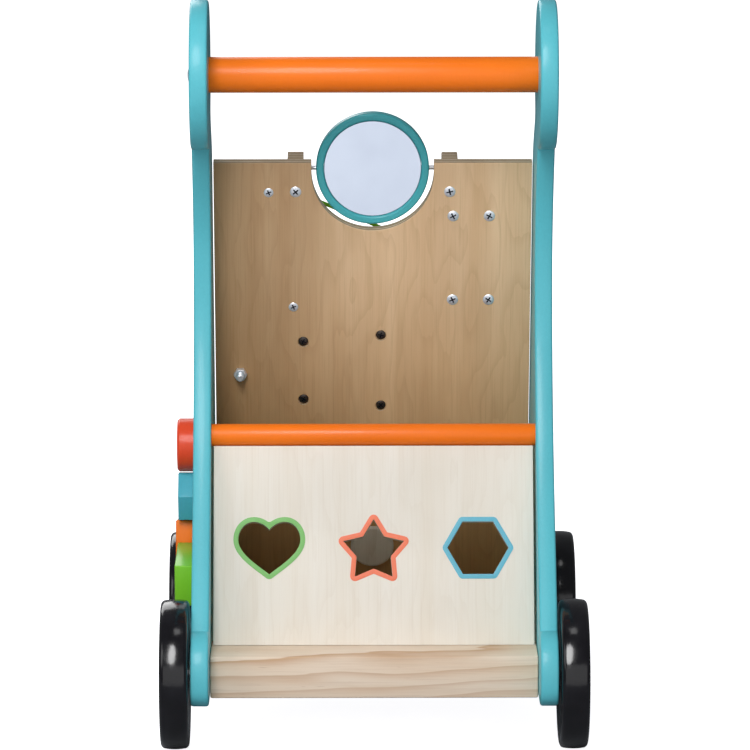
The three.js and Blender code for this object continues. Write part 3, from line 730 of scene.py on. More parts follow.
class WalkerSizes(bpy.types.PropertyGroup):
    """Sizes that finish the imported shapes."""

    panel_rounding: length("Panel rounding", "Radius of the side panels' edges", 1.7)
    panel_ahead: length("Panel ahead", "How far the side panels stand ahead of the board", 12)
    waist_below: length("Waist below", "Height of the board's top over the panels' waist", 63)
    waist_behind: length("Waist behind", "Depth of the panels behind the board at the waist", 41.5)
    bar_cover: length("Bar cover", "Wood of the panels behind the sorter bar", 5.5)
    notch_in: length("Notch in", "Rear axle to the notch over the rear foot, along the walker", 18)
    notch_up: length("Notch up", "Rear axle to the notch over the rear foot, upwards", 34)
    foot_corner: length("Foot corner", "Length of the rounded corner at each end of a foot", 24)
    board_easing: length("Board easing", "Radius of the boards' edges", 0.5)
    timber_easing: length("Timber easing", "Radius of the battens' edges", 1.1)
    wheel_rounding: length("Wheel rounding", "Radius of the wheels' rims", 3.2)
    wheel_crown: length("Wheel crown", "How much the tread swells in its middle", 0.5)
    hub_radius: length("Hub radius", "Radius of the sunk hub in each wheel", 14)
    hub_depth: length("Hub depth", "Depth of the sunk hub in each wheel", 5)
    hole_pitch: length("Hole pitch", "Spacing of the sorter's holes", 70.3)
    hole_height: length("Hole height", "Sorter's foot to the middle of its holes", 66)
    heart_width: length("Heart width", "Width of the heart hole", 41.8)
    heart_height: length("Heart height", "Height of the heart hole", 35.7)
    star_outer: length("Star points", "Radius of the star hole's points", 21.4)
    star_drop: length("Star drop", "Centre of the star below the other holes' centres", 2)
    star_inner: length("Star corners", "Radius of the star hole's inner corners", 12)
    hexagon_radius: length("Hexagon radius", "Radius of the hexagon hole's corners", 20.5)
    border: length("Border", "Width of the painted borders round the holes", 3.3)
    recess_radius: length("Recess radius", "Radius of the board's recess for the mirror", 41.7)
    recess_rise: length("Recess rise", "Recess centre over the mirror's axis", 1.5)
    ring_thickness: length("Ring thickness", "Thickness of the mirror's ring", 9.5)


class WalkerColours(bpy.types.PropertyGroup):
    """Colours of the paints."""

    turquoise: colour("Turquoise", "Side panels, tower shelves and a key", 92, 190, 203)
    orange: colour("Orange", "Push bar, sorter bar and toys", 254, 122, 24)
    red: colour("Red", "Red toys", 240, 78, 44)
    teal: colour("Teal", "Mirror ring", 70, 172, 180)
    green: colour("Green", "Green toys and the bead wire", 124, 198, 46)
    yellow: colour("Yellow", "Yellow toys", 246, 198, 44)
    blue: colour("Blue", "Hexagon block", 82, 178, 196)
    white: colour("White", "Xylophone rails", 240, 238, 232)
    printed_green: colour("Printed green", "Heart's border", 124, 186, 104)
    printed_coral: colour("Printed coral", "Star's border", 240, 124, 90)
    printed_blue: colour("Printed blue", "Hexagon's border", 98, 178, 200)


def sizes():
    return bpy.context.scene.walker_sizes


# ---------------------------------------------------------------- stage


class WALKER_OT_stage(bpy.types.Operator):
    """Pale floor, soft light and the camera"""

    bl_idname = "walker.stage"
    bl_label = "Stage"

    def execute(self, context):
        scene = context.scene
        scene.view_settings.view_transform = "Standard"
        deselect()
        bpy.ops.mesh.primitive_plane_add(size=60)
        ground = context.object
        ground.name = "ground"
        ground.data.materials.append(self.paper())
        self.air(scene)
        middle_height = (0, 0, 0.2)
        self.lamp("front_box", (-0.3, -1.75, 1.68), middle_height, 0.6, 1.3, 30, "ELLIPSE")
        self.lamp("left_box", (-1.9, -1.5, 1.6), middle_height, 1.4, 1.4, 15)
        self.lamp("top_box", (0.05, -0.4, 2.4), middle_height, 0.4, 0.4, 1.5)
        self.lamp("low_box", (0.3, -3.1, 0.75), middle_height, 3.6, 1.6, 17)
        self.lamp("far_box", (-0.9, 2.2, 1.5), middle_height, 1.5, 1.5, 24)
        self.lamp("low_card", (0, -1.35, 0.02), (0, -1.35, 2), 1.6, 1.3, 4)
        bpy.ops.object.camera_add(location=(-0.024, -3.2256, 0.8739))
        camera = context.object
        camera.name = "camera"
        camera.rotation_euler = (radians(90 - 11.228), 0, radians(-0.45))
        camera.data.lens = 231.9
        camera.data.sensor_width = 36
        camera.data.clip_end = 100
        scene.camera = camera
        return {"FINISHED"}

    def paper(self):
        """White paper to the eye, which throws back less light than it seems to."""
        f = Finish("pale_ground")
        cloud = f.noise(f.placed(size=(0.8, 0.8, 0.8)), detail=2)
        tint = f.mixed(cloud, shade(252, 252, 253), shade(248, 248, 250))
        away = f.add("ShaderNodeVectorMath", {"operation": "LENGTH"}, {0: f.whole()}, "Value")
        glow = f.mixed(f.ramp(away, 0.25, 1.4), shade(246, 246, 248), shade(254, 254, 254))
        white = f.surface(
            Base_Color=tint, Roughness=1.0, Specular_IOR_Level=0.0,
            Emission_Color=glow, Emission_Strength=1.0,
        )
        grey = f.surface(Base_Color=shade(150, 153, 158), Roughness=1.0, Specular_IOR_Level=0.0)
        seen = f.add("ShaderNodeLightPath", {}, {}, "Is Camera Ray")
        both = f.add("ShaderNodeMixShader", {}, {0: seen, 1: grey, 2: white})
        f.add("ShaderNodeOutputMaterial", {}, {"Surface": both})
        return f.material

    def air(self, scene):
        """White to the eye, and softer as a light."""
        world = bpy.data.worlds.new("air")
        scene.world = world
        world.use_nodes = True
        tree = world.node_tree
        tree.nodes.clear()
        path = tree.nodes.new("ShaderNodeLightPath")
        seen = tree.nodes.new("ShaderNodeBackground")
        lit = tree.nodes.new("ShaderNodeBackground")
        both = tree.nodes.new("ShaderNodeMixShader")
        end = tree.nodes.new("ShaderNodeOutputWorld")
        seen.inputs["Strength"].default_value = 1.0
        seen.inputs["Color"].default_value = (1, 1, 1, 1)
        lit.inputs["Color"].default_value = (0.93, 0.96, 1, 1)
        lit.inputs["Strength"].default_value = 0.16
        tree.links.new(path.outputs["Is Camera Ray"], both.inputs[0])
        tree.links.new(lit.outputs[0], both.inputs[1])
        tree.links.new(seen.outputs[0], both.inputs[2])
        tree.links.new(both.outputs[0], end.inputs["Surface"])

    def lamp(self, name, place, towards, width, height, power, shape="RECTANGLE"):
        bpy.ops.object.light_add(type="AREA", location=place)
        lamp = bpy.context.object
        lamp.name = name
        lamp.rotation_euler = (Vector(towards) - Vector(place)).to_track_quat("-Z", "Y").to_euler()
        lamp.data.shape = shape
        lamp.data.size = width
        lamp.data.size_y = height
        lamp.data.energy = power


# ---------------------------------------------------------------- screws


HEAD_BELOW = 1.2 * MM  # part of a screw head that is sunk in the wood
SLOT_DEPTH = 1.2 * MM
SLOT_FLOOR = 0.08 * MM  # metal left between the slots and the wood
SLOT_ARMS = ((0, 2), (pi / 2, 1.9))  # turn, and cutter height over slot depth: no faces in one plane
PIT_RADIUS = 0.43  # of the head's radius
PIT_DEPTH = 1.7  # of the slots' depth
PIT_TURN = 0.06


def cross_screw(radius, rise, slot_width):
    """A cross-slot screw head at the origin, standing up its own Z axis."""
    steps = 5
    dome = [(radius * cos(pi / 2 * i / steps), rise * sin(pi / 2 * i / steps)) for i in range(steps)]
    profile = [(0, -HEAD_BELOW), (radius, -HEAD_BELOW), *dome, (0, rise)]
    head = turning("screw_head", profile, Matrix(), 40)
    deep = min(SLOT_DEPTH, rise - SLOT_FLOOR)
    arms = []
    for turn, share in SLOT_ARMS:
        deselect()
        bpy.ops.mesh.primitive_cube_add(size=1, location=(0, 0, rise), rotation=(0, 0, turn))
        arm = bpy.context.object
        arm.scale = (1.2 * radius, slot_width, share * deep)
        arms.append(settle(arm))
    deselect()
    bpy.ops.mesh.primitive_cone_add(
        vertices=4, radius1=0, radius2=PIT_RADIUS * radius, depth=PIT_DEPTH * deep,
        location=(0, 0, rise), rotation=(0, 0, PIT_TURN),
    )
    arms.append(settle(bpy.context.object))
    return carved(head, *arms)


def set_screws(model, places, finish, body="frame"):
    """Copies of a screw head. Each place is (name, point, direction out, turn, solids it stands for)."""
    radius = max(corner[0] for corner in model.bound_box)
    rise = max(corner[2] for corner in model.bound_box)
    for name, point, direction, spin, nodes in places:
        place = turned_to(direction, point, spin)
        copy = twin(model, name, place)
        tidy(copy)
        finished(copy, material(finish), body, "steel", *nodes)
        back = place.inverted()

        def in_cross(face):
            at = back @ face.center
            reach = min(1, (at.x**2 + at.y**2) / radius**2)
            return reach < 0.4 and -1.1 * MM < at.z < rise * sqrt(1 - reach) - 0.2 * MM

        # painted shade: the cross slot's faces get the dark metal, where shade falls in the recess
        painted_faces(copy, material("soot"), in_cross)


# ---------------------------------------------------------------- frame


def panel_outline():
    """Side panel in (forwards, up): a round head about the handle, a waist, and a foot round each axle."""
    size = sizes()
    low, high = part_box("side_panel_right")
    handle = middle("handle_bar")
    bar = middle("sorter_bar")
    head = high.z - handle.z
    rear, front = middle("rear_axle"), middle("front_axle")

    def front_y(z):
        return BOARD.at(0, BOARD.thickness, 0).y - (z - BOARD.at(0, BOARD.thickness, 0).z) * tan(BOARD.lean)

    def rear_y(z):
        return BOARD.foot.y - (z - BOARD.foot.z) * tan(BOARD.lean)

    top = BOARD.at(0, 0, BOARD.length).z
    waist_z = top - size.waist_below
    waist = (rear_y(waist_z) - size.waist_behind, waist_z)
    notch = (rear.y - size.notch_in, rear.z + size.notch_up)
    behind = (bar.y - span("sorter_bar").z / 2 - size.bar_cover, bar.z)
    lower = (behind[0] - notch[0], behind[1] - notch[1])
    upper = (waist[0] - behind[0], waist[1] - behind[1])
    lobe = (front_y(front.z + head) + size.panel_ahead, front.z + head)
    shoulder = (front_y(top - 4 * MM) + size.panel_ahead, top - 4 * MM)
    turn = -pi / 6
    meet = (handle.y + head * cos(turn), handle.z + head * sin(turn))
    pen = Pen((low.y + size.foot_corner, low.z))
    pen.line((high.y - size.foot_corner, low.z))
    pen.bend((high.y, low.z), (high.y, front.z))
    pen.curve((high.y, front.z + 22 * MM), (lobe[0] + 6 * MM, lobe[1] - 18 * MM), lobe)
    pen.line(shoulder)
    pen.curve((shoulder[0] - 5 * MM, shoulder[1] + 26 * MM), (meet[0] - 9 * MM, meet[1] - 15 * MM), meet)
    pen.arc((handle.y, handle.z), head, turn, 1.5 * pi + 0.04)
    pen.curve((handle.y + 16 * MM, handle.z - head - 26 * MM), (waist[0], waist[1] + 30 * MM), waist)
    above = (behind[0] + 0.43 * upper[0], behind[1] + 0.25 * upper[1])
    pen.curve((waist[0], waist[1] - 0.36 * upper[1]), above, behind)
    below = (behind[0] - 0.24 * lower[0], behind[1] - 0.29 * lower[1])
    pen.curve(below, (notch[0] + 0.39 * lower[0], notch[1] + 0.36 * lower[1]), notch)
    pen.curve((notch[0] - 14 * MM, notch[1]), (low.y, notch[1] - 12 * MM), (low.y, rear.z))
    pen.bend((low.y, low.z), (low.y + size.foot_corner, low.z))
    return pen.points[:-1]


PEG_HOLE_RADIUS = 3.4 * MM
PEG_HOLE_DEPTH = 8.3 * MM


class WALKER_OT_panels(bpy.types.Operator):
    """Both side panels, with the peg holes of the blocks"""

    bl_idname = "walker.panels"
    bl_label = "Side panels"

    def execute(self, context):
        outline = panel_outline()
        for side, block_names in (("left", BLOCKS), ("right", ())):
            node = "side_panel_" + side
            low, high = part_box(node)
            place = Matrix.Translation(((low.x + high.x) / 2, 0, 0)) @ SIDEWAYS
            panel = flat("panel_" + side, [outline], high.x - low.x, sizes().panel_rounding, place)
            cutters = []
            for name in block_names:
                centre = middle(name)
                start = (low.x - 5 * MM, centre.y, centre.z)
                end = (low.x + PEG_HOLE_DEPTH, centre.y, centre.z)
                cutters.append(dowel("peg_hole", PEG_HOLE_RADIUS, start, end, 0.2 * MM, 32))
            carved(panel, *cutters)
            painted(panel, "turquoise", node)
        return {"FINISHED"}


class WALKER_OT_bars(bpy.types.Operator):
    """Push bar and sorter bar"""

    bl_idname = "walker.bars"
    bl_label = "Bars"

    def execute(self, context):
        for node, name in (("handle_bar", "push_bar"), ("sorter_bar", "lower_bar")):
            painted(crosswise_rod(node, name, 1.2 * MM, 72), "orange", node)
        return {"FINISHED"}


class WALKER_OT_timbers(bpy.types.Operator):
    """Rear plank, front batten and tray floor"""

    bl_idname = "walker.timbers"
    bl_label = "Timbers"

    def execute(self, context):
        for node, name, finish in (
            ("rear_plank", "axle_plank", "pine"),
            ("front_batten", "axle_batten", "pine_front"),
        ):
            timber = block_of(name, *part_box(node), sizes().timber_easing)
            finished(timber, material(finish), "frame", "pine", node)
        tray = block_of("tray_floor", *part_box("floor_panel"), 0.4 * MM, 2)
        finished(tray, material("pale_veneer"), "frame", "plywood", "floor_panel")
        painted_faces(tray, material("floor_edge"), on_edge(UPWARDS))
        return {"FINISHED"}


# ---------------------------------------------------------------- wheels


AXLE_BORE = 4.3 * MM
WASHER_RADIUS = 8.5 * MM
WASHER_THICKNESS = 1.2 * MM


def wheel_profile(radius, width):
    size = sizes()
    round_off, crown = size.wheel_rounding, size.wheel_crown
    shoulder = radius - crown
    steps = 10
    start = [(AXLE_BORE, 0), (18 * MM, 0), (19 * MM, 0.5 * MM), (20 * MM, 0)]
    inner = rounded_turn((shoulder - round_off, round_off), round_off, -pi / 2, 0)
    tread = []
    for i in range(1, steps):
        share = i / steps
        height = round_off + (width - 2 * round_off) * share
        tread.append((shoulder + crown * (1 - (2 * share - 1) ** 2), height))
    outer = rounded_turn((shoulder - round_off, width - round_off), round_off, 0, pi / 2)
    groove = [(33 * MM, width), (32 * MM, width - 0.6 * MM), (31 * MM, width)]
    floor = width - size.hub_depth
    lip = rounded_turn((size.hub_radius + MM, width - MM), MM, pi / 2, pi, 3)
    hub = [*lip, (size.hub_radius, floor), (AXLE_BORE, floor)]
    return [*start, *inner, *tread, *outer, *groove, *hub]


class WALKER_OT_wheels(bpy.types.Operator):
    """Four wheels with their axle caps, washers and axles"""

    bl_idname = "walker.wheels"
    bl_label = "Wheels"

    def execute(self, context):
        width = span("wheel_rear_right").x
        radius = span("wheel_rear_right").z / 2
        model = turning("wheel_model", wheel_profile(radius, width), Matrix(), 128, closed=True)
        cap_low, cap_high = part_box("axle_cap_rear_right")
        deep, reach = cap_high.x - cap_low.x, (cap_high.z - cap_low.z) / 2
        dome = [(reach * cos(pi / 2 * i / 8), deep * (0.45 + 0.55 * sin(pi / 2 * i / 8))) for i in range(8)]
        cap_model = turning("cap_model", [(0, 0), (reach, 0), *dome, (0, deep)], Matrix(), 48)
        ring = [(AXLE_BORE, 0), (WASHER_RADIUS, 0), (WASHER_RADIUS, WASHER_THICKNESS)]
        ring.append((AXLE_BORE, WASHER_THICKNESS))
        washer_model = turning("washer_model", ring, Matrix(), 40, 0.25 * MM, closed=True)
        for end in ("rear", "front"):
            for side, out in SIDES:
                node = f"wheel_{end}_{side}"
                centre = middle(node)
                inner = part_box(node)[0 if out > 0 else 1].x
                start = Vector((inner, centre.y, centre.z))
                wheel = twin(model, f"{end}_{side}_wheel", turned_to(ACROSS * out, start))
                finished(tidy(wheel), material("black_lacquer"), node, "black_paint", node)
                cap_node = f"axle_cap_{end}_{side}"
                cap_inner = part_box(cap_node)[0 if out > 0 else 1].x
                seat = Vector((cap_inner, centre.y, centre.z))
                cap = twin(cap_model, f"{end}_{side}_cap", turned_to(ACROSS * out, seat))
                plated(tidy(cap), cap_node)
                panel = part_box("side_panel_" + side)[1 if out > 0 else 0].x
                rest = Vector((panel + out * 0.1 * MM, centre.y, centre.z))
                washer = twin(washer_model, f"{end}_{side}_washer", turned_to(ACROSS * out, rest))
                plated(tidy(washer))
            plated(crosswise_rod(f"{end}_axle", f"{end}_spindle", 0.5 * MM, 40), f"{end}_axle")
        for pattern in (model, cap_model, washer_model):
            bpy.data.objects.remove(pattern)
        return {"FINISHED"}


# ---------------------------------------------------------------- shape sorter


def heart_outline(x, up):
    w, h = sizes().heart_width / 2, sizes().heart_height / 2
    pen = Pen((x, up + 0.7 * h))
    pen.curve((x - 0.12 * w, up + 0.88 * h), (x - 0.3 * w, up + h), (x - 0.5 * w, up + h), 10)
    pen.curve((x - 0.79 * w, up + h), (x - w, up + 0.7 * h), (x - w, up + 0.32 * h), 12)
    pen.curve((x - w, up - 0.2 * h), (x - 0.39 * w, up - 0.64 * h), (x, up - h), 20)
    right = [(2 * x - px, pu) for px, pu in reversed(pen.points[1:-1])]
    return pen.points + right


def star_outline(x, up):
    radii = [sizes().star_outer, sizes().star_inner] * 5
    turns = [pi / 2 + pi * i / 5 for i in range(10)]
    return [(x + radius * cos(turn), up + radius * sin(turn)) for radius, turn in zip(radii, turns)]


def hexagon_outline(x, up):
    radius = sizes().hexagon_radius
    return [(x + radius * cos(pi * i / 3), up + radius * sin(pi * i / 3)) for i in range(6)]


class WALKER_OT_sorter(bpy.types.Operator):
    """Shape sorter board with the painted borders of its three holes"""

    bl_idname = "walker.sorter"
    bl_label = "Shape sorter"

    def execute(self, context):
        size = sizes()
        up = size.hole_height
        holes = {
            "heart": heart_outline(-size.hole_pitch, up),
            "star": star_outline(0, up - size.star_drop),
            "hexagon": hexagon_outline(size.hole_pitch, up),
        }
        half = span("sorter_board").x / 2
        top = SORTER.length
        outline = [(-half, 0), (half, 0), (half, top), (-half, top)]
        deep = SORTER.thickness
        loops = [outline, *holes.values()]
        board = flat("sorter_panel", loops, deep, size.board_easing, SORTER.sheet(deep / 2))
        pick(board)
        bpy.ops.object.mode_set(mode="EDIT")
        bpy.ops.mesh.select_all(action="SELECT")
        bpy.ops.mesh.bisect(plane_co=SORTER.foot, plane_no=(0, 0, 1), use_fill=True, clear_inner=True)
        bpy.ops.object.mode_set(mode="OBJECT")
        tidy(board)
        finished(board, material("pale_veneer"), "frame", "pale_plywood", "sorter_board")
        painted_faces(board, material("pale_edge"), on_edge(SORTER.out))
        paints = {"heart": "green", "star": "coral", "hexagon": "blue"}
        slots = {"heart": "green_paint", "star": "orange_paint", "hexagon": "blue_paint"}
        for shape, hole in holes.items():
            edge = outset(hole, size.border)
            if shape == "heart":
                edge = [p for p in edge if abs(p[0] + size.hole_pitch) > 0.05 * MM or p[1] < up]
                edge = self.unfolded(edge, -size.hole_pitch, up)
            inner = outset(hole, 0.12 * MM) if shape != "heart" else hole
            border = flat(
                shape + "_border", [edge, inner], 0.3 * MM, 0.08 * MM, SORTER.sheet(-0.1 * MM)
            )
            finished(border, material("printed_" + paints[shape]), "frame", slots[shape])
        return {"FINISHED"}

    def unfolded(self, points, x, up):
        """The heart's border without the loop that its cleft makes when it is moved outwards."""
        high = up + 0.2 * sizes().heart_height
        kept = []
        for i, point in enumerate(points):
            left = i < len(points) / 2
            crossed = point[0] > x if left else point[0] < x
            if not (crossed and point[1] > high):
                kept.append(point)
        return kept


# ---------------------------------------------------------------- activity board


RAIL_SLOPE = 5
COUNTERBORE_RADIUS = 3.9 * MM
COUNTERBORE_DEPTH = 1.5 * MM
SCREW_SUNK = 0.9 * MM
BOARD_SCREWS = {
    "tower": [("tower_shelf_upper", 12.4), ("tower_shelf_lower", 12.4)],
    "rails": [("xylophone_rail_upper", 26.8, RAIL_SLOPE), ("xylophone_rail_lower", 26.8, -RAIL_SLOPE)],
}


class WALKER_OT_board(bpy.types.Operator):
    """Activity board with its recess, posts and screws"""

    bl_idname = "walker.board"
    bl_label = "Activity board"

    def execute(self, context):
        size = sizes()
        half = span("front_board").x / 2
        top = BOARD.length
        arc_up = BOARD.local(middle("mirror_rod")).z + size.recess_rise
        radius = size.recess_radius
        pen = Pen((-half, 0))
        pen.line((half, 0))
        pen.line((half, top))
        pen.line((radius, top))
        pen.line((radius, arc_up))
        pen.arc((0, arc_up), radius, 0, -pi, 72)
        pen.line((-radius, top))
        pen.line((-half, top))
        deep = BOARD.thickness
        board = flat("activity_board", [pen.points], deep, size.board_easing, BOARD.sheet(deep / 2))
        sunk = self.rail_screws()
        cutters = []
        for _, x, up in sunk:
            start, end = BOARD.at(x, -2 * MM, up), BOARD.at(x, COUNTERBORE_DEPTH, up)
            cutters.append(dowel("counterbore", COUNTERBORE_RADIUS, start, end, 0.3 * MM, 32))
        carved(board, *cutters)
        finished(board, material("veneer"), "frame", "plywood", "front_board")
        painted_faces(board, material("veneer_edge"), on_edge(BOARD.out))
        for side in ("left", "right"):
            post = eased(copied("mirror_post_" + side, "post_" + side), 0.8 * MM)
            finished(post, material("veneer_edge"), "frame", "plywood", "mirror_post_" + side)
        back = -BOARD.out
        bright = cross_screw(radius=3.9 * MM, rise=0.8 * MM, slot_width=1.1 * MM)
        places = []
        for side, turn in (("left", 0.7), ("right", 0.25)):
            node = "mirror_post_screw_" + side
            spot = BOARD.local(middle(node))
            places.append((f"post_screw_{side}", BOARD.at(spot.x, 0, spot.z), back, turn, [node]))
        for node, reach in BOARD_SCREWS["tower"]:
            spot = BOARD.local(middle(node))
            for side, way in SIDES:
                point = BOARD.at(spot.x + way * reach * MM, 0, spot.z)
                places.append((f"{node}_screw_{side}", point, back, 0.5 + way * 0.3 + spot.z, []))
        set_screws(bright, places, "bright_zinc")
        bpy.data.objects.remove(bright)
        small = cross_screw(radius=3.3 * MM, rise=0.6 * MM, slot_width=1 * MM)
        places = []
        for node in ("bead_upper", "bead_lower"):
            spot = BOARD.local(middle(node))
            places.append((node + "_screw", BOARD.at(spot.x, 0, spot.z), back, 0.4, []))
        set_screws(small, places, "bright_zinc")
        places = [(name, BOARD.at(x, SCREW_SUNK, up), back, up * 40, []) for name, x, up in sunk]
        set_screws(small, places, "dark_zinc")
        bpy.data.objects.remove(small)
        return {"FINISHED"}

    def rail_screws(self):
        found = []
        for node, reach, slope in BOARD_SCREWS["rails"]:
            spot = BOARD.local(middle(node))
            for side, way in SIDES:
                across = way * reach * MM
                up = spot.z + across * tan(radians(slope))
                found.append((f"{node}_screw_{side}", spot.x + across, up))
        return found


class WALKER_OT_mirror(bpy.types.Operator):
    """Flip mirror: painted ring, two panes and the rod"""

    bl_idname = "walker.mirror"
    bl_label = "Mirror"

    def execute(self, context):
        ring_mesh = frame["nodes"]["mirror_rear"].data
        facing = [face for face in ring_mesh.polygons if face.normal.y < -0.5]
        back = max(facing, key=lambda face: face.area).normal.copy()
        centre = middle("mirror_rod")
        outer = max(abs(c.x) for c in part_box("mirror_ring")) / cos(pi / 32)
        inner = max(abs(c.x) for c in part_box("mirror_rear")) / cos(pi / 32) + 0.1 * MM
        deep = sizes().ring_thickness / 2
        profile = [(inner, -deep), (outer, -deep), (outer, deep), (inner, deep)]
        place = turned_to(back, centre)
        ring = turning("mirror_hoop", profile, place, 128, 1.3 * MM, closed=True)
        finished(ring, material("teal"), "mirror", "turquoise_paint", "mirror_ring")
        pane_radius = inner - 0.15 * MM
        for node, side in (("mirror_rear", 1), ("mirror_front", -1)):
            face = side * (deep - 1.5 * MM)
            rear = side * (deep - 3.0 * MM)
            shape = [(0, rear), (pane_radius, rear), (pane_radius, face - side * 0.3 * MM)]
            shape += [(pane_radius - 0.3 * MM, face), (0, face)]
            pane = turning(node + "_pane", shape, place, 96)
            finished(pane, material("silvering"), "mirror", "mirror", node)
        rod = crosswise_rod("mirror_rod", "mirror_spindle", 0.4 * MM, 32)
        plated(rod, "mirror_rod", body="mirror")
        return {"FINISHED"}


# ---------------------------------------------------------------- toys on the board


class WALKER_OT_gears(bpy.types.Operator):
    """Three meshing gears on their wooden pins"""

    bl_idname = "walker.gears"
    bl_label = "Gears"

    def execute(self, context):
        for side, paint in (("left", "red"), ("centre", "yellow"), ("right", "green")):
            gear = eased(copied("gear_" + side, side + "_gear"), 0.5 * MM, 2, 25)
            painted(gear, paint, "gear_" + side, "gear_" + side)
            spot = BOARD.local(middle("gear_" + side))
            node = "gear_pin_" + side
            disc = span(node).x / 2
            back, front = extent(node, 1)
            shaft, head = 3 * MM, 6 * MM
            profile = [(0, back), (disc - 1.2 * MM, back), (disc, back + 0.8 * MM), (disc, -0.3 * MM)]
            profile += [(shaft, -0.3 * MM), (shaft, front - 3 * MM), (head, front - 3 * MM)]
            profile += [(head, front - MM), (head - 1.5 * MM, front), (0, front)]
            place = turned_to(BOARD.out, BOARD.at(spot.x, 0, spot.z))
            pin = turning(side + "_gear_pin", profile, place, 56)
            finished(pin, material("pin_wood"), "frame", "pale_plywood", node)
        return {"FINISHED"}


class WALKER_OT_daisy(bpy.types.Operator):
    """Daisy spinner with its bolt and nut"""

    bl_idname = "walker.daisy"
    bl_label = "Daisy spinner"

    def execute(self, context):
        daisy = eased(copied("daisy_wheel", "daisy"), 1.4 * MM, 3, 60)
        painted(daisy, "orange", "daisy_wheel", "daisy_wheel")
        spot = BOARD.local(middle("daisy_wheel"))
        back, front = extent("daisy_bolt", 1)
        shank, root, pitch = 2.5 * MM, 2.15 * MM, 0.7 * MM
        thread = [(0, back), (1.9 * MM, back)]
        turns = 14
        for i in range(turns):
            height = back + 0.4 * MM + i * pitch
            thread += [(shank, height), (root, height + pitch / 2)]
        profile = [*thread, (shank, back + 10.4 * MM), (shank, front - 3 * MM)]
        profile += [(5 * MM, front - 3 * MM), (4.7 * MM, front - 1.2 * MM), (3 * MM, front), (0, front)]
        place = turned_to(BOARD.out, BOARD.at(spot.x, 0, spot.z))
        plated(turning("daisy_axle_bolt", profile, place, 32), "daisy_bolt")
        nut = eased(copied("daisy_nut", "daisy_lock_nut"), 0.35 * MM, 2, 40)
        plated(nut, "daisy_nut")
        return {"FINISHED"}


class WALKER_OT_xylophone(bpy.types.Operator):
    """Five keys on two rails, each key held by two pins"""

    bl_idname = "walker.xylophone"
    bl_label = "Xylophone"

    def execute(self, context):
        for row in ("upper", "lower"):
            node = "xylophone_rail_" + row
            rail = eased(copied(node, row + "_rail"), 0.8 * MM)
            painted(rail, "white", node)
        profile = [(0, -0.4 * MM), (2.4 * MM, -0.4 * MM), (2.4 * MM, 0.2 * MM)]
        profile += [(1.6 * MM, 1.1 * MM), (0, 1.3 * MM)]
        pin = turning("key_pin", profile, Matrix(), 32)
        paints = ("turquoise", "green", "yellow", "orange", "red")
        for i, paint in enumerate(paints):
            node = f"xylophone_bar_{i + 1}"
            key = copied(node, f"key_{i + 1}")
            self.round_corners(key)
            eased(key, 0.5 * MM, 2, 40)
            painted(key, paint, node)
            spot = BOARD.local(middle(node))
            face = extent(node, 1)[1]
            for row in ("upper", "lower"):
                rail = BOARD.local(middle("xylophone_rail_" + row))
                slope = tan(radians(RAIL_SLOPE if row == "upper" else -RAIL_SLOPE))
                point = BOARD.at(spot.x, face, rail.z + (spot.x - rail.x) * slope)
                copy = twin(pin, f"key_{i + 1}_{row}_pin", turned_to(BOARD.out, point))
                plated(tidy(copy))
        bpy.data.objects.remove(pin)
        return {"FINISHED"}

    def round_corners(self, key):
        """Rounds the four corners of a key as seen from the front."""
        mesh = key.data

        def through(edge):
            run = mesh.vertices[edge.vertices[1]].co - mesh.vertices[edge.vertices[0]].co
            return abs(run.normalized().dot(BOARD.out)) > 0.95

        choose(key, "EDGE", mesh.edges, through)
        bpy.ops.mesh.bevel(offset=4 * MM, segments=5, affect="EDGES")
        bpy.ops.object.mode_set(mode="OBJECT")


class WALKER_OT_tower(bpy.types.Operator):
    """Three rollers on a rod between two shelves"""

    bl_idname = "walker.tower"
    bl_label = "Roller tower"

    def execute(self, context):
        for row in ("upper", "lower"):
            node = "tower_shelf_" + row
            shelf = eased(copied(node, row + "_shelf"), 1.6 * MM, 3, 50)
            painted(shelf, "turquoise", node)
        for i, paint in enumerate(("red", "yellow", "green")):
            node = f"tower_roller_{i + 1}"
            low, high = extent(node, 2)
            spot = BOARD.local(middle(node))
            radius = span(node).x / 2
            bore, slant, groove = 3.6 * MM, 1.5 * MM, 0.8 * MM
            half = (low + high) / 2
            profile = [(bore, low), (radius - slant, low), (radius, low + slant)]
            profile += [(radius, half - groove), (radius - groove, half), (radius, half + groove)]
            profile += [(radius, high - slant), (radius - slant, high), (bore, high)]
            place = turned_to(BOARD.up, BOARD.at(spot.x, spot.y, 0))
            roller = turning(f"roller_{i + 1}_drum", profile, place, 64, 0.3 * MM, closed=True)
            painted(roller, paint, node, f"roller_{i + 1}")
        spot = BOARD.local(middle("tower_rod"))
        ends = [BOARD.at(spot.x, spot.y, up) for up in extent("tower_rod", 2)]
        rod = dowel("tower_spindle", span("tower_rod").x / 2, *ends, 0.4 * MM, 32)
        plated(rod, "tower_rod")
        return {"FINISHED"}


class WALKER_OT_beads(bpy.types.Operator):
    """Bead wire and its three beads"""

    bl_idname = "walker.beads"
    bl_label = "Bead maze"

    def execute(self, context):
        smooth = copied("bead_wire", "bead_loop")
        applied(smooth, "SUBSURF", levels=1, render_levels=1)
        tidy(smooth, sharp=80)
        painted(smooth, "green", "bead_wire")
        for name, paint in (("upper", "red"), ("lower", "orange"), ("middle", "yellow")):
            node = "bead_" + name
            bead = copied(node, name + "_bead")
            eased(bead, 1.2 * MM, 3, 22)
            applied(bead, "SUBSURF", levels=1, render_levels=1)
            tidy(bead, sharp=70)
            painted(bead, paint, node, node)
        return {"FINISHED"}


# ---------------------------------------------------------------- blocks on the left panel


BLOCKS = ("red_disc_block", "blue_hexagon_block", "orange_square_block", "green_bar_block")


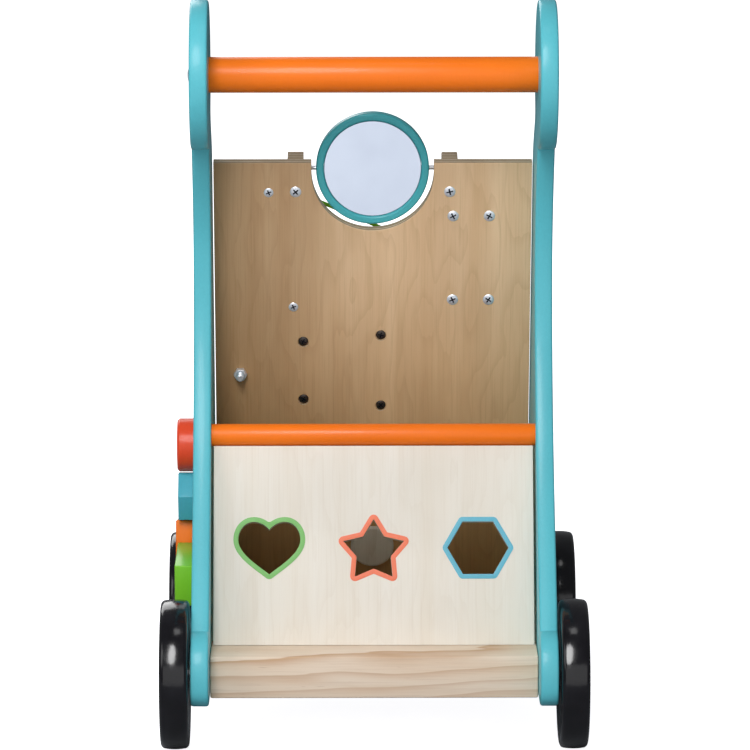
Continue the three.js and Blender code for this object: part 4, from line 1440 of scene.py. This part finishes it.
class WALKER_OT_blocks(bpy.types.Operator):
    """Four pegged blocks on the left panel"""

    bl_idname = "walker.blocks"
    bl_label = "Side blocks"

    def execute(self, context):
        for node, paint in zip(BLOCKS, ("red", "blue", "orange", "green")):
            name = node.replace("_block", "_toy")
            if "disc" in node:
                low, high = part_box(node)
                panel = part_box("side_panel_left")[0].x
                centre = middle(node)
                radius = (high.z - low.z) / 2
                face = panel - 0.3 * MM - low.x
                profile = [(0, 0), (radius - 1.5 * MM, 0), (radius, 1.5 * MM), (radius, face - MM)]
                profile += [(radius - MM, face), (3 * MM, face), (3 * MM, high.x - low.x - 0.5 * MM)]
                profile += [(2.5 * MM, high.x - low.x), (0, high.x - low.x)]
                place = turned_to(ACROSS, (low.x, centre.y, centre.z))
                toy = turning(name, profile, place, 72, 0.5 * MM)
            else:
                toy = eased(copied(node, name), 0.9 * MM, 3, 45)
            painted(toy, paint, node, node)
        return {"FINISHED"}


class WALKER_OT_panel_screws(bpy.types.Operator):
    """Push bar screws and the countersunk screws through the side panels"""

    bl_idname = "walker.panel_screws"
    bl_label = "Panel screws"

    def execute(self, context):
        large = cross_screw(radius=5.5 * MM, rise=1.9 * MM, slot_width=1.3 * MM)
        small = cross_screw(radius=4 * MM, rise=0.5 * MM, slot_width=1.1 * MM)
        large_places, small_places = [], []
        for side, out in SIDES:
            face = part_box("side_panel_" + side)[0 if out < 0 else 1].x
            node = "handle_screw_" + side
            centre = middle(node)
            point = Vector((face + out * 0.3 * MM, centre.y, centre.z))
            large_places.append((f"bar_screw_{side}", point, ACROSS * out, 0.5, [node]))
            spots = [BOARD.at(0, BOARD.thickness / 2, share * BOARD.length) for share in (0.2, 0.5, 0.82)]
            spots += [SORTER.at(0, SORTER.thickness / 2, share * SORTER.length) for share in (0.22, 0.75)]
            spots.append(middle("sorter_bar"))
            for timber, inner in (("rear_plank", 1), ("front_batten", -1)):
                spots.append(middle(timber) + Vector((0, inner * 14 * MM, 0)))
            for i, spot in enumerate(spots):
                place = Vector((face, spot.y, spot.z))
                small_places.append((f"panel_screw_{side}_{i + 1}", place, ACROSS * out, 0.37 * i, []))
        set_screws(large, large_places, "bright_zinc")
        set_screws(small, small_places, "bright_zinc")
        bpy.data.objects.remove(large)
        bpy.data.objects.remove(small)
        return {"FINISHED"}


# ---------------------------------------------------------------- add-on


STEPS = (
    WALKER_OT_stage,
    WALKER_OT_panels,
    WALKER_OT_bars,
    WALKER_OT_timbers,
    WALKER_OT_wheels,
    WALKER_OT_sorter,
    WALKER_OT_board,
    WALKER_OT_mirror,
    WALKER_OT_gears,
    WALKER_OT_daisy,
    WALKER_OT_xylophone,
    WALKER_OT_tower,
    WALKER_OT_beads,
    WALKER_OT_blocks,
    WALKER_OT_panel_screws,
)


class WALKER_PT_build(bpy.types.Panel):
    """Lists the walker's building steps"""

    bl_idname = "WALKER_PT_build"
    bl_label = "Baby Walker"
    bl_space_type = "VIEW_3D"
    bl_region_type = "UI"
    bl_category = "Walker"

    def draw(self, context):
        for group in (context.scene.walker_sizes, context.scene.walker_colours):
            box = self.layout.box()
            for name in group.__annotations__:
                box.prop(group, name)
        for step in STEPS:
            self.layout.operator(step.bl_idname)


CLASSES = (WalkerSizes, WalkerColours, *STEPS, WALKER_PT_build)


def register():
    for each in CLASSES:
        bpy.utils.register_class(each)
    bpy.types.Scene.walker_sizes = bpy.props.PointerProperty(type=WalkerSizes)
    bpy.types.Scene.walker_colours = bpy.props.PointerProperty(type=WalkerColours)


def unregister():
    del bpy.types.Scene.walker_colours
    del bpy.types.Scene.walker_sizes
    for each in reversed(CLASSES):
        bpy.utils.unregister_class(each)


def main():
    register()
    for step in STEPS:
        name = step.bl_idname.split(".")[1]
        getattr(bpy.ops.walker, name)()


if __name__ == "__main__":
    main()
